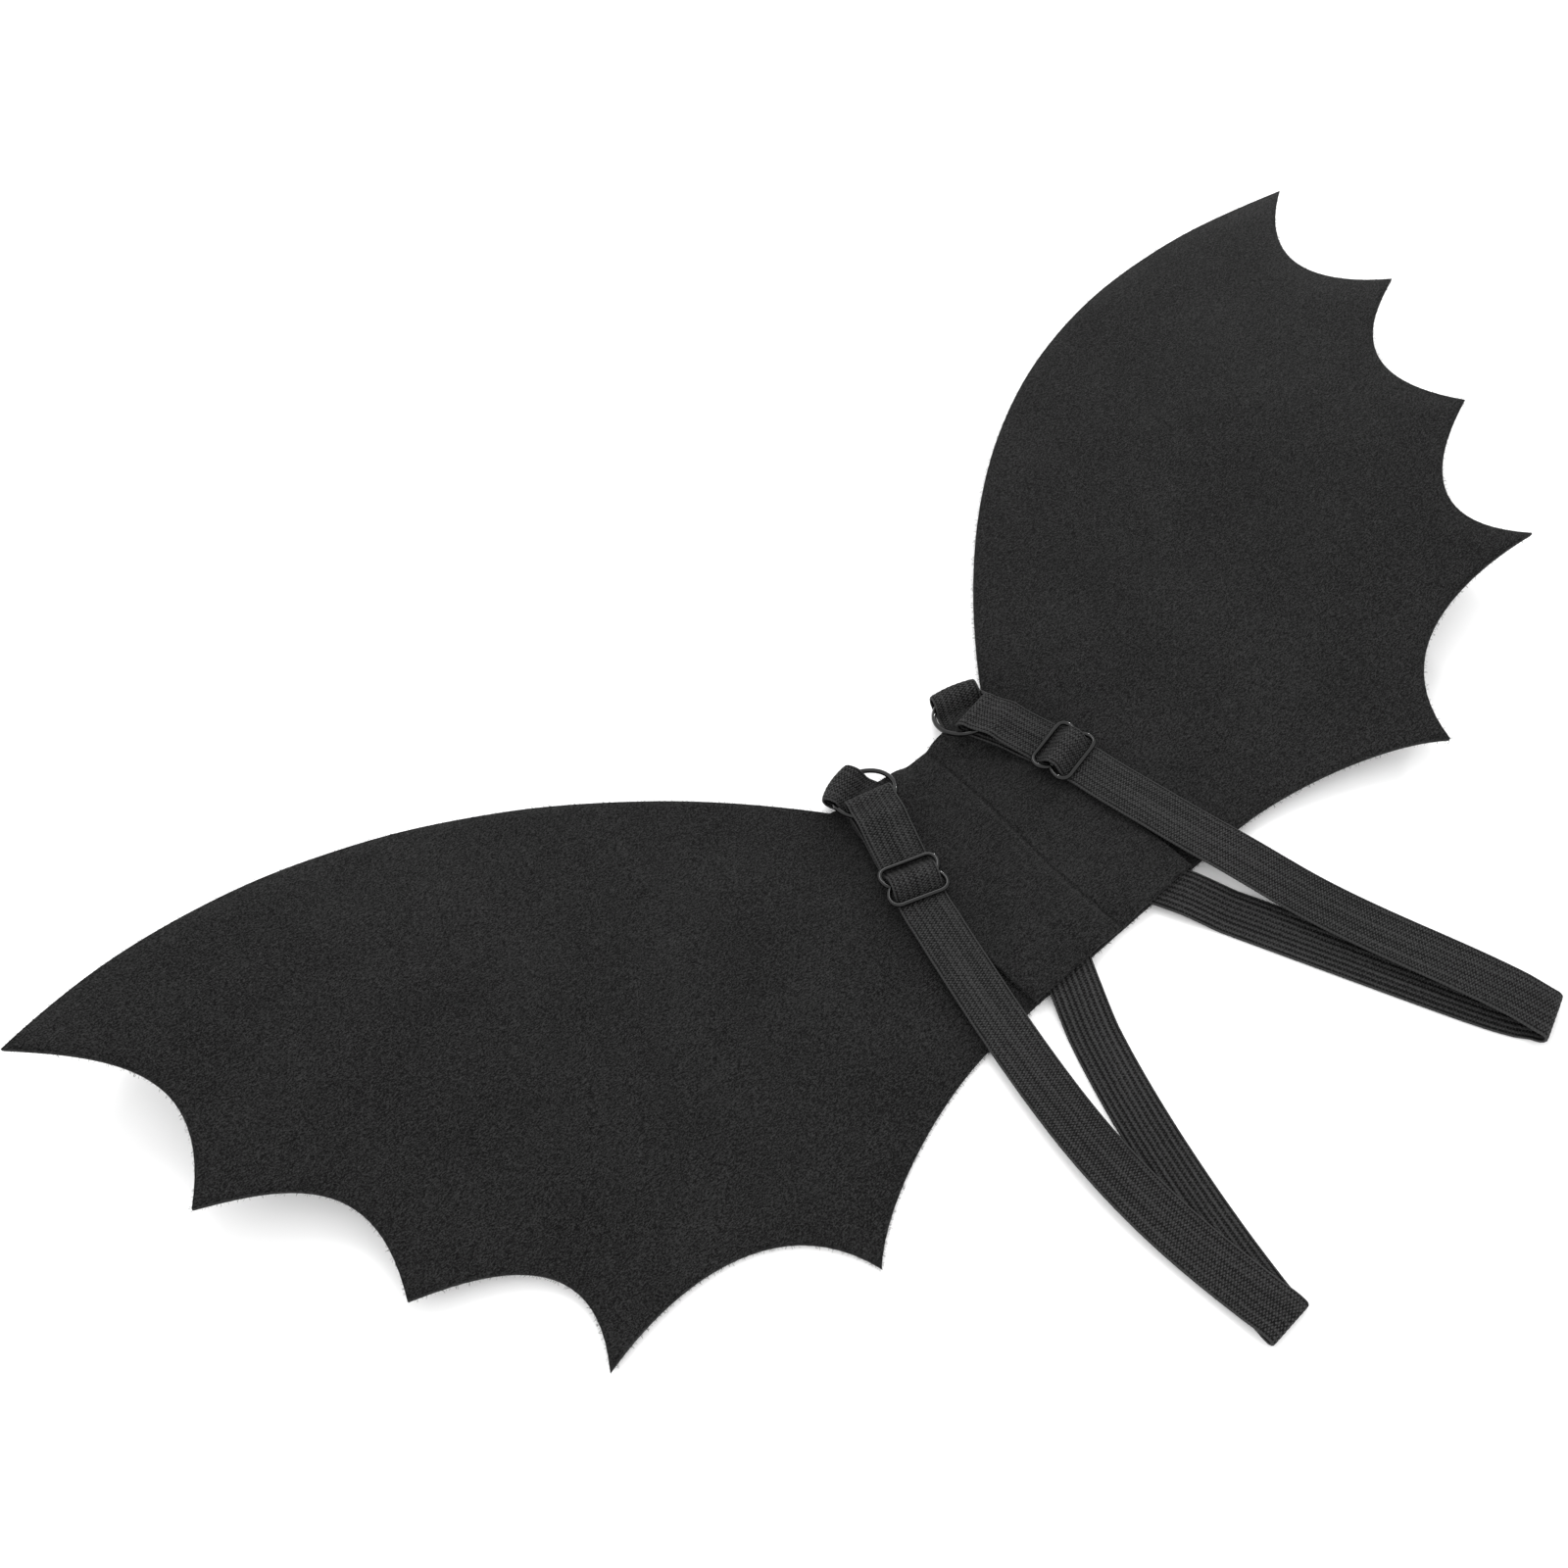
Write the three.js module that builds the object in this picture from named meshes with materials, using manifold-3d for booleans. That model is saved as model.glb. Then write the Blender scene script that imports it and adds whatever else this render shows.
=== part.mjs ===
// Bat wings of a child's costume, lying flat with the strap side up. One scalloped sheet of felt
// makes both wings and the back, and a felt patch covers its middle. Two elastic shoulder straps
// run through wire sliders, over a wire ring and back to the slider. A short elastic tab holds each
// ring. The rings' tabs and the straps' lower ends are sewn between the panel and the patch.
// The frame has +X to the right wing, +Y to the neck and +Z up, and its origin is the middle of the
// panel's underside, where it lies on the floor.
import * as THREE from 'three';
import { mergeVertices } from 'three/addons/utils/BufferGeometryUtils.js';
import Module from 'manifold-3d';

// Sizes of the felt, in millimetres
const wingSpan = 695.4;           // tip to tip, measured along the felt
const wingDepth = 270;            // highest point of the leading edge to the lowest wing point
const feltThickness = 2.5;
const backHeight = 110;           // neck to lower edge, on the centre line
const neckDip = 6.5;              // how far the neck edge dips between the wing roots
const patchWidth = 86;
const patchThickness = 2;
const patchCorner = 18;           // rounding of the patch's two corners under the ring tabs
const creaseDepth = 0.5;          // the fold line that runs down the patch
const creaseWidth = 6;

// Sizes of the elastic and the wire parts
const elasticWidth = 20;
const elasticThickness = 1.4;
const wireRadius = 1;
const ringRadius = 12.8;          // to the middle of the wire
const ringTilt = 17;              // degrees, strap side up
const ringLean = 0.4;             // how much a ring leans to its tab's way, from its strap's way
const sliderWidth = 24;           // to the middle of the wire
const sliderHeight = 17;
const sliderCorner = 3.6;
const sliderPinch = 2.4;          // how far the short sides bend in to the middle bar
const sliderNotch = 1.5;          // half the height of the notch that this makes
const strapReach = 140;           // lower edge of the back to the end of the strap loops
const sliderDrop = 43.8;          // ring middle to slider middle
const strapInsert = 15;           // length of a strap end sewn under the patch
const tabInsert = 10;
const loopFoldRadius = 3.2;       // of the widest open fold at the end of a strap loop
const ringFoldBack = 2.6;         // from the ring's middle to the strap's fold round the wire
const sewGap = 0.3;               // between pieces that touch

// Values that follow from the sizes
const halfSpan = wingSpan / 2;
const rootX = patchWidth / 2;
const neckY = backHeight / 2;
const hemY = -backHeight / 2;
const patchTop = feltThickness + sewGap + patchThickness;
const firstLayer = feltThickness + sewGap + elasticThickness / 2;
const layerStep = elasticThickness + sewGap;
const wirePass = wireRadius + sewGap + elasticThickness / 2;
const sliderZ = patchTop + sewGap + elasticThickness / 2 + wirePass + layerStep;
const strapOverPatch = patchTop + sewGap + elasticThickness / 2;
const wireFold = wirePass + 3 * sewGap;
const barRoom = sliderWidth - 2 * (sliderPinch + wireRadius + sewGap);
const ringChord = Math.sqrt(ringRadius ** 2 - (elasticWidth / 2) ** 2);

// Points of one wing from the tip inwards: x as a share of half the span, y of the wing's depth
const wingPoints = [
  { x: 1.0, y: 0.61 },
  { x: 0.938, y: 0.303 },
  { x: 0.826, y: 0.041 },
  { x: 0.716, y: -0.197 },
  { x: 0.4455, y: -0.331 },
];
// The curves between them, as handles along and beside each chord, in shares of its length
const scallops = [
  { along1: 0.34, beside1: -0.336, along2: 0.673, beside2: -0.461 },
  { along1: 0.34, beside1: -0.323, along2: 0.655, beside2: -0.441 },
  { along1: 0.301, beside1: -0.275, along2: 0.732, beside2: -0.553 },
  { along1: 0.263, beside1: -0.185, along2: 0.717, beside2: -0.375 },
  { along1: 0.266, beside1: -0.112, along2: 0.742, beside2: -0.078 },
];
const leadingEdge = { along1: 0.406, beside1: 0.273, along2: 0.744, beside2: 0.211 };
// Where the last scallop runs into the lower edge, and the middle that the felt is gridded from
const hemJoin = { x: 0.205, y: -0.0045 };
const wingHub = { x: 0.175, y: 0.093 };
// How each wing rises from the floor, in shares of half the span
const wingLift = {
  left: { rise: -0.022, curl: 0.105, twist: -0.044, twistCurl: 0.351, cup: 0.065 },
  right: { rise: 0.097, curl: 0.052, twist: -0.035, twistCurl: -0.201, cup: -0.03 },
};
const liftAxisY = 0.1015;          // share of the wing's depth

// Places and routes of the straps. ringX is a share of the patch's width from the centre line and
// ringY is how far below the root corner the ring sits, as a share of the back's height. The turns are
// degrees from +Y, towards +X, of the way from slider to ring, of the slider itself and of the ring's
// tab. Hem and loop places are shares of the patch's width and of the strap's reach. loopOpen is how
// open the fold at the loop's end is, as a share of the widest fold's radius.
const sides = {
  left: {
    sign: -1, ringX: -0.342, ringY: 0.0564, strapTurn: 16.7, sliderTurn: 20, tabTurn: -22,
    hemX: -0.285, loopX: -0.464, loopY: 1.01, loopOpen: 0.5,
    front: { along1: 0.581, beside1: -0.086, along2: 0.661, beside2: -0.075 },
    rear: { along1: 0.322, beside1: -0.071, along2: 0.9, beside2: -0.026 },
  },
  right: {
    sign: 1, ringX: 0.316, ringY: 0.0527, strapTurn: -21.7, sliderTurn: -11.5, tabTurn: 21,
    hemX: 0.36, loopX: 0.652, loopY: 0.936, loopOpen: 1,
    front: { along1: 0.6, beside1: -0.052, along2: 0.85, beside2: 0.019 },
    rear: { along1: 0.95, beside1: -0.018, along2: 0.873, beside2: -0.021 },
  },
};
// A strap's way over the slider's middle bar, each side alike: along is a share of half the slider's
// height, under of its depth below the outer bars and over of its height above the middle bar
const sliderWeave = [
  { along: 0.835, under: 1, over: 0 },
  { along: 0.62, under: 0.3, over: 0 },
  { along: 0.36, under: 0, over: 0.62 },
  { along: 0.2, under: 0, over: 0.97 },
];
// The two layers between ring and slider: along is a share of the way from the ring to the slider, and
// done is how much of the height between them is behind
const frontRise = [
  { along: 0.62, done: 0.3 },
  { along: 0.47, done: 0.66 },
];
const backFall = [
  { along: 0.45, done: 0.2 },
  { along: 0.66, done: 0.85 },
];
// Height of a front leg over its way from the slider to the loop's end, in shares of the height of
// elastic that lies on the patch, and near the end in shares of the fold's height
const frontHeights = [
  { along: 0, height: (sliderZ - wirePass) / strapOverPatch },
  { along: 0.12, height: 1.12 },
  { along: 0.3, height: 1.0 },
  { along: 0.6, height: 0.95 },
];
const foldHeights = [
  { along: 0.85, height: 0.95 },
  { along: 1, height: 1 },
];
// Where a rear leg comes down from between the felts to the floor, in shares of its way
const rearDrop = { from: 0.05, to: 0.18 };
const foldTurnFrom = 0.86;        // share of a leg's way where it starts to turn to the loop's fold line

// How far beside a sewn strip the patch stays pushed up, and then comes down, in elastic widths
const pushHold = 0.22;
const pushFade = 0.42;

// How finely the shapes are divided
const scallopSteps = 9;
const leadingSteps = 20;
const feltRings = 6;
const patchColumns = 20;
const patchRows = 24;
const wireSides = 8;
const legSteps = 18;
const ringSteps = 36;
const stepsPerBend = 2;           // between two points of a slider's outline

const wasm = await Module();
wasm.setup();

// A smooth step from 0 to 1 as value goes from low to high
function ease(value, low, high) {
  return THREE.MathUtils.smoothstep(value, low, high);
}

// A closed mesh from points and faces, with its faces turned outwards
function closedMesh(points, faces) {
  let volume = 0;
  for (const [a, b, c] of faces) {
    volume += points[a].dot(new THREE.Vector3().crossVectors(points[b], points[c]));
  }
  const index = faces.flatMap(([a, b, c]) => (volume < 0 ? [a, c, b] : [a, b, c]));
  const geometry = new THREE.BufferGeometry().setFromPoints(points).setIndex(index);
  const merged = mergeVertices(geometry, 1e-4);
  merged.computeVertexNormals();
  return merged;
}

// Faces between rows of points that all have the same number of points
function gridFaces(faces, rows, columns, closeRows) {
  const lastRow = closeRows ? rows : rows - 1;
  for (let i = 0; i < lastRow; i++) {
    for (let j = 0; j < columns; j++) {
      const a = i * columns + j;
      const b = i * columns + ((j + 1) % columns);
      const c = ((i + 1) % rows) * columns + ((j + 1) % columns);
      const d = ((i + 1) % rows) * columns + j;
      faces.push([a, b, c], [a, c, d]);
    }
  }
}

// A cubic curve from one point to another, with its handles given along and beside the chord
function chordCurve(from, to, handles) {
  const chord = to.clone().sub(from);
  const beside = new THREE.Vector2(-chord.y, chord.x);
  const first = from.clone().addScaledVector(chord, handles.along1).addScaledVector(beside, handles.beside1);
  const second = from.clone().addScaledVector(chord, handles.along2).addScaledVector(beside, handles.beside2);
  return new THREE.CubicBezierCurve(from, first, second, to);
}

// Felt

// Height of a wing's underside over the floor at a place of its flat pattern
function liftAt(side, x, y) {
  const out = Math.max(x - rootX, 0) / halfSpan;
  const across = (y - liftAxisY * wingDepth) / halfSpan;
  const { rise, curl, twist, twistCurl, cup } = wingLift[side];
  const bend = rise + curl * out + twist * across + twistCurl * out * across + cup * across ** 2;
  return Math.max(0, bend * out * halfSpan);
}

// A place of the flat pattern, x counted outwards, on the lifted wing
function feltPoint(side, x, y, height) {
  const lift = liftAt(side, x, y);
  const out = Math.max(x - rootX, 1e-6);
  const reach = Math.min(x, rootX) + (x > rootX ? Math.sqrt(out ** 2 - Math.min(lift, out) ** 2) : 0);
  return new THREE.Vector3(sides[side].sign * reach, y, lift + height);
}

function neckAt(x) {
  return neckY + neckDip * (Math.min(Math.abs(x), rootX) / rootX) ** 2;
}

// The patch's upper edge follows the neck, and its corners are rounded off
function patchEdgeAt(x) {
  const past = Math.max(Math.abs(x) - (rootX - patchCorner), 0);
  return neckAt(x) - patchCorner + Math.sqrt(Math.max(patchCorner ** 2 - past ** 2, 0));
}

// One half of the flat pattern, from the neck's middle round the wing to the lower edge's middle
function halfPattern() {
  const root = new THREE.Vector2(rootX, neckAt(rootX));
  const corners = wingPoints.map((p) => new THREE.Vector2(p.x * halfSpan, p.y * wingDepth));
  corners.push(new THREE.Vector2(hemJoin.x * halfSpan, hemY + hemJoin.y * wingDepth));
  const neckMiddle = new THREE.Vector2(rootX / 2, neckY);
  const neck = new THREE.QuadraticBezierCurve(new THREE.Vector2(0, neckY), neckMiddle, root);
  const points = neck.getPoints(6);
  const addCurve = (curve, steps) => points.push(...curve.getPoints(steps).slice(1));
  addCurve(chordCurve(root, corners[0], leadingEdge), leadingSteps);
  scallops.forEach((scallop, i) => addCurve(chordCurve(corners[i], corners[i + 1], scallop), scallopSteps));
  const hemEnd = new THREE.Vector2(rootX, hemY);
  addCurve(new THREE.LineCurve(corners.at(-1), hemEnd), 2);
  addCurve(new THREE.LineCurve(hemEnd, new THREE.Vector2(0, hemY)), 4);
  return points;
}

function wingPanel() {
  const rim = halfPattern();
  const open = rim.length;
  const centreLine = new THREE.LineCurve(rim.at(-1), rim[0]);
  const outline = rim.concat(centreLine.getPoints(8).slice(1, -1));
  const hub = new THREE.Vector2(wingHub.x * halfSpan, wingHub.y * wingDepth);
  const points = [];
  const faces = [];
  for (const side of ['left', 'right']) {
    const start = points.length;
    for (const height of [0, feltThickness]) {
      for (let ring = 1; ring <= feltRings; ring++) {
        for (const place of outline) {
          const at = hub.clone().lerp(place, ring / feltRings);
          points.push(feltPoint(side, at.x, at.y, height));
        }
      }
      points.push(feltPoint(side, hub.x, hub.y, height));
    }
    const layer = outline.length * feltRings + 1;
    const flip = side === 'left';
    const add = (a, b, c) => faces.push(flip ? [a, c, b] : [a, b, c]);
    for (let i = 0; i < outline.length; i++) {
      const next = (i + 1) % outline.length;
      for (const top of [0, 1]) {
        const base = start + top * layer;
        const face = (a, b, c) => (top ? add(a, c, b) : add(a, b, c));
        face(base + layer - 1, base + i, base + next);
        for (let ring = 0; ring < feltRings - 1; ring++) {
          const inner = base + ring * outline.length;
          const outer = inner + outline.length;
          face(inner + i, outer + i, outer + next);
          face(inner + i, outer + next, inner + next);
        }
      }
      if (i < open - 1) {
        const low = start + (feltRings - 1) * outline.length;
        const high = low + layer;
        add(low + i, high + i, high + next);
        add(low + i, high + next, low + next);
      }
    }
  }
  return closedMesh(points, faces);
}

// Where a strip of elastic runs under the patch: the place where it enters, the way inwards and how
// many layers lie there
function insertOf(entry, inward, length, layers) {
  return { entry, inward, length, height: layers * layerStep };
}

// How far the patch is pushed up by what is sewn under it
function patchRise(inserts, x, y) {
  const hold = elasticWidth * pushHold;
  const fade = elasticWidth * pushFade;
  let rise = 0;
  for (const strip of inserts) {
    const from = new THREE.Vector2(x, y).sub(strip.entry);
    const beside = Math.abs(from.cross(strip.inward)) - elasticWidth / 2;
    const beyond = from.dot(strip.inward) - strip.length;
    const away = Math.hypot(Math.max(beside, 0), Math.max(beyond, 0));
    rise = Math.max(rise, strip.height * (1 - ease(away, hold, hold + fade)));
  }
  return rise;
}

function backPatch(inserts) {
  const points = [];
  const faces = [];
  const creaseX = patchWidth / patchColumns;
  const count = (patchColumns + 1) * (patchRows + 1);
  for (const top of [0, 1]) {
    for (let i = 0; i <= patchRows; i++) {
      for (let j = 0; j <= patchColumns; j++) {
        const x = (j / patchColumns - 0.5) * patchWidth;
        const y = THREE.MathUtils.lerp(hemY, patchEdgeAt(x), i / patchRows);
        const crease = creaseDepth * (1 - ease(Math.abs(x - creaseX), 0, creaseWidth));
        const under = feltThickness + sewGap + patchRise(inserts, x, y);
        points.push(new THREE.Vector3(x, y, top ? under + patchThickness - crease : under));
      }
    }
  }
  const at = (top, i, j) => top * count + i * (patchColumns + 1) + j;
  const wall = (a, b, c, d) => faces.push([a, b, c], [a, c, d]);
  for (let i = 0; i < patchRows; i++) {
    for (let j = 0; j < patchColumns; j++) {
      wall(at(1, i, j), at(1, i, j + 1), at(1, i + 1, j + 1), at(1, i + 1, j));
      wall(at(0, i + 1, j), at(0, i + 1, j + 1), at(0, i, j + 1), at(0, i, j));
    }
  }
  for (let i = 0; i < patchRows; i++) {
    wall(at(0, i, 0), at(1, i, 0), at(1, i + 1, 0), at(0, i + 1, 0));
    wall(at(0, i + 1, patchColumns), at(1, i + 1, patchColumns), at(1, i, patchColumns), at(0, i, patchColumns));
  }
  for (let j = 0; j < patchColumns; j++) {
    wall(at(0, 0, j + 1), at(1, 0, j + 1), at(1, 0, j), at(0, 0, j));
    wall(at(0, patchRows, j), at(1, patchRows, j), at(1, patchRows, j + 1), at(0, patchRows, j + 1));
  }
  return closedMesh(points, faces);
}

// Elastic

// A strip of elastic along stations. Each has its middle and the level direction across the strip, and
// it may have its own width and how far the strip's two edges are pulled out of line
function elasticStrip(stations, columns) {
  const points = [];
  const faces = [];
  stations.forEach(({ place, across, bow, width = elasticWidth }, i) => {
    const before = stations[Math.max(i - 1, 0)].place;
    const after = stations[Math.min(i + 1, stations.length - 1)].place;
    const normal = new THREE.Vector3().crossVectors(after.clone().sub(before), across).normalize();
    for (const face of [-1, 1]) {
      for (let j = 0; j <= columns; j++) {
        const share = face * (1 - (2 * j) / columns);
        const point = place.clone().addScaledVector(across, (share * width) / 2);
        point.addScaledVector(normal, (-face * elasticThickness) / 2);
        if (bow) point.addScaledVector(bow, share ** 2);
        points.push(point);
      }
    }
  });
  const ring = 2 * (columns + 1);
  gridFaces(faces, stations.length, ring, false);
  for (const end of [0, stations.length - 1]) {
    for (let j = 0; j < columns; j++) {
      const a = end * ring + j;
      const b = a + 1;
      const c = end * ring + ring - 2 - j;
      const d = c + 1;
      if (end) faces.push([a, b, c], [a, c, d]);
      else faces.push([a, c, b], [a, d, c]);
    }
  }
  return closedMesh(points, faces);
}

function directionOf(turn) {
  const angle = THREE.MathUtils.degToRad(turn);
  return new THREE.Vector2(Math.sin(angle), Math.cos(angle));
}

function acrossOf(heading) {
  return new THREE.Vector3(-heading.y, heading.x, 0).normalize();
}

function ringMiddle(side) {
  const { ringX, ringY } = sides[side];
  return new THREE.Vector2(ringX * patchWidth, neckAt(rootX) - ringY * backHeight);
}

function sliderMiddle(side) {
  return ringMiddle(side).addScaledVector(directionOf(sides[side].strapTurn), -sliderDrop);
}

// The far end of a strap's loop, and the curve of its rear leg from the lower edge to there
function loopEnd(side) {
  const { loopX, loopY } = sides[side];
  return new THREE.Vector2(loopX * strapReach, hemY - loopY * strapReach);
}

function rearLeg(side) {
  const hem = new THREE.Vector2(sides[side].hemX * patchWidth, hemY);
  return chordCurve(hem, loopEnd(side), sides[side].rear);
}

// The direction across a leg, which turns to the loop's fold line at the end of the leg's way
function acrossLeg(leg, share, foldLine) {
  const own = acrossOf(leg.getTangentAt(share));
  return own.lerp(foldLine, ease(share, foldTurnFrom, 1)).normalize();
}

// A ring's plane slopes down towards its tab and up towards the strap, more in line with the strap
function ringNormal(side) {
  const low = directionOf(THREE.MathUtils.lerp(sides[side].sliderTurn, sides[side].tabTurn, ringLean));
  const tilt = THREE.MathUtils.degToRad(ringTilt);
  return new THREE.Vector3(low.x * Math.sin(tilt), low.y * Math.sin(tilt), Math.cos(tilt));
}

// The direction in a ring's plane that runs above a level heading
function inRingPlane(side, heading) {
  const normal = ringNormal(side);
  const slope = -(normal.x * heading.x + normal.y * heading.y) / normal.z;
  return new THREE.Vector3(heading.x, heading.y, slope).normalize();
}

function acrossInRing(side, heading) {
  return new THREE.Vector3().crossVectors(ringNormal(side), inRingPlane(side, heading)).normalize();
}

// Height of a ring's middle, set by its tab, which folds round the wire at the height of the sewn layers
function ringHeight(side) {
  const out = directionOf(sides[side].tabTurn);
  return firstLayer + wireFold - ringRadius * inRingPlane(side, out).z;
}

// How far from a ring's middle its strap's edge first meets the wire. The strap may come in askew
function strapChord(side) {
  const skew = THREE.MathUtils.degToRad(sides[side].strapTurn - sides[side].sliderTurn);
  const half = elasticWidth / 2;
  return Math.sqrt(ringRadius ** 2 - (half * Math.cos(skew)) ** 2) - half * Math.abs(Math.sin(skew));
}

// Height in a table of stations, at a share of the way
function heightAt(table, along) {
  let i = 1;
  while (i < table.length - 1 && table[i].along < along) i++;
  const share = ease(along, table[i - 1].along, table[i].along);
  return THREE.MathUtils.lerp(table[i - 1].height, table[i].height, share);
}

// The whole route of a shoulder strap, from its sewn lower end to the end round the slider's bar
function strapRoute(side) {
  const shape = sides[side];
  const up = directionOf(shape.sliderTurn);
  const down = up.clone().negate();
  const fromRing = directionOf(shape.strapTurn).negate();
  const ring = ringMiddle(side);
  const slider = sliderMiddle(side);
  const loop = loopEnd(side);
  const leave = slider.clone().addScaledVector(down, sliderHeight / 2 + wirePass);
  const rear = rearLeg(side);
  const front = chordCurve(leave, loop, shape.front);
  const foldLine = acrossOf(rear.getTangent(1)).add(acrossOf(front.getTangent(1))).normalize();
  const stations = [];
  const add = (plan, height, across, width) => {
    stations.push({ place: new THREE.Vector3(plan.x, plan.y, height), across, width });
  };
  const floorZ = elasticThickness / 2;

  const rearStart = rear.getTangent(0);
  const entry = rear.getPoint(0).addScaledVector(rearStart, -strapInsert);
  add(entry, firstLayer, acrossOf(rearStart));
  for (let i = 0; i <= legSteps; i++) {
    const share = i / legSteps;
    const height = THREE.MathUtils.lerp(firstLayer, floorZ, ease(share, rearDrop.from, rearDrop.to));
    add(rear.getPointAt(share), height, acrossLeg(rear, share, foldLine));
  }

  const foldSteps = 6;
  const foldRadius = loopFoldRadius * shape.loopOpen;
  const outOfLoop = new THREE.Vector2(foldLine.y, -foldLine.x);
  for (let i = 1; i < foldSteps; i++) {
    const angle = (Math.PI * i) / foldSteps;
    const plan = loop.clone().addScaledVector(outOfLoop, foldRadius * Math.sin(angle));
    add(plan, floorZ + foldRadius * (1 - Math.cos(angle)), foldLine);
  }

  const heightsOf = (table, whole) => table.map(({ along, height }) => ({ along, height: height * whole }));
  const foldTop = floorZ + 2 * foldRadius;
  const heights = [...heightsOf(frontHeights, strapOverPatch), ...heightsOf(foldHeights, foldTop)];
  for (let i = legSteps; i >= 0; i--) {
    const share = i / legSteps;
    const plan = front.getPointAt(share);
    const across = acrossLeg(front, share, foldLine);
    const outer = Math.abs(plan.x) + elasticWidth / 2;
    const onWing = ease(plan.y, hemY - strapReach / 3, hemY) * ease(share, 0, 0.15);
    const lift = liftAt(side, outer, Math.max(plan.y, hemY)) * onWing;
    add(plan, heightAt(heights, share) + lift, across);
  }

  const across = acrossOf(down);
  const weave = (along, height, width) => {
    add(slider.clone().addScaledVector(up, along), sliderZ + height, across, width);
  };
  const bar = sliderHeight / 2;
  const hump = wirePass + layerStep;
  for (const { along, under, over } of sliderWeave) weave(-bar * along, over * hump - under * wirePass);
  weave(0, hump);
  for (const { along, under, over } of sliderWeave.toReversed()) {
    weave(bar * along, over * hump - under * wirePass);
  }
  weave(bar + wirePass, -wirePass);

  const overRing = inRingPlane(side, fromRing);
  const acrossRing = acrossInRing(side, down);
  const ringZ = ringHeight(side);
  const level = wirePass / ringNormal(side).z;
  const overWire = ringZ + ringRadius * overRing.z + level;
  const underWire = ringZ + strapChord(side) * overRing.z - level;
  const nearWire = ringRadius * Math.hypot(overRing.x, overRing.y);
  const pastWire = nearWire + 3 * wireRadius;
  const acrossWay = acrossOf(fromRing);
  const rise = (along, height) => {
    const turned = acrossRing.clone().lerp(acrossWay, ease(along, pastWire, sliderDrop / 2)).normalize();
    add(ring.clone().addScaledVector(fromRing, along), height, turned);
  };
  for (const { along, done } of frontRise) {
    rise(sliderDrop * along, THREE.MathUtils.lerp(sliderZ - wirePass, overWire, done));
  }
  rise(pastWire, overWire);
  rise(nearWire, overWire);
  rise(ringChord, overWire - wireRadius / 2);
  for (let i = 0; i <= foldSteps; i++) {
    const angle = (Math.PI * i) / foldSteps;
    const along = ringFoldBack + wireFold * (1 - Math.sin(angle));
    rise(along, underWire + wireFold * (1 + Math.cos(angle)));
  }
  rise(nearWire, underWire);
  for (const { along, done } of backFall) {
    rise(sliderDrop * along, THREE.MathUtils.lerp(underWire, sliderZ - hump, done));
  }
  weave(bar, -hump);
  const wrapSteps = 8;
  for (let i = 0; i <= wrapSteps; i++) {
    const angle = THREE.MathUtils.degToRad(-70 - (240 * i) / wrapSteps);
    weave(wirePass * Math.cos(angle), wirePass * Math.sin(angle), barRoom);
  }
  return stations;
}

// The tab that holds a ring: out over the neck edge, round the ring's far side and back
function tabStations(side, edge) {
  const out = directionOf(sides[side].tabTurn);
  const across = acrossOf(out);
  const ring = ringMiddle(side);
  const outRing = inRingPlane(side, out);
  const acrossRing = acrossInRing(side, out);
  const pull = outRing.clone().multiplyScalar(ringChord - ringRadius);
  const farZ = firstLayer + wireFold;
  const farOut = ringRadius * Math.hypot(outRing.x, outRing.y);
  const between = (share) => THREE.MathUtils.lerp(edge, farOut, share);
  const stations = [];
  const add = (along, height) => {
    const plan = ring.clone().addScaledVector(out, along);
    const free = ease(along, edge, between(0.7));
    const bow = pull.clone().multiplyScalar(free);
    const turned = across.clone().lerp(acrossRing, free).normalize();
    stations.push({ place: new THREE.Vector3(plan.x, plan.y, height), across: turned, bow });
  };
  add(edge - tabInsert, firstLayer);
  add(edge, firstLayer);
  add(between(0.35), firstLayer);
  add(between(0.7), firstLayer);
  const foldSteps = 6;
  for (let i = 0; i <= foldSteps; i++) {
    const angle = (Math.PI * i) / foldSteps;
    add(farOut + wireFold * Math.sin(angle), farZ - wireFold * Math.cos(angle));
  }
  const second = firstLayer + layerStep;
  add(between(0.7), THREE.MathUtils.lerp(second, farZ + wireFold, 0.95));
  add(between(0.35), THREE.MathUtils.lerp(second, farZ + wireFold, 0.5));
  add(edge, second);
  add(edge - tabInsert, second);
  return stations;
}

// How far from the ring's middle the whole width of the tab has left the patch
function edgeAlongTab(side) {
  const out = directionOf(sides[side].tabTurn);
  const beside = new THREE.Vector2(-out.y, out.x);
  const edges = [-1, -0.5, 0, 0.5, 1].map((share) => {
    const from = ringMiddle(side).addScaledVector(beside, (share * elasticWidth) / 2);
    let along = 0;
    for (let i = 0; i < 20; i++) {
      along = (patchEdgeAt(from.x + along * out.x) - from.y) / out.y;
    }
    return along;
  });
  return Math.max(...edges) + 2 * sewGap;
}

// Wire parts

function joined(first, second) {
  const solidOf = (geometry) => {
    const bare = new THREE.BufferGeometry().setAttribute('position', geometry.getAttribute('position'));
    if (geometry.index) bare.setIndex(geometry.index);
    const whole = mergeVertices(bare, 1e-4);
    const mesh = new wasm.Mesh({
      numProp: 3,
      vertProperties: new Float32Array(whole.getAttribute('position').array),
      triVerts: new Uint32Array(whole.index.array),
    });
    return new wasm.Manifold(mesh);
  };
  const made = solidOf(first).add(solidOf(second)).getMesh();
  const geometry = new THREE.BufferGeometry();
  geometry.setAttribute('position', new THREE.BufferAttribute(made.vertProperties, 3));
  geometry.setIndex(new THREE.BufferAttribute(made.triVerts, 1));
  geometry.computeVertexNormals();
  return geometry;
}

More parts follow.
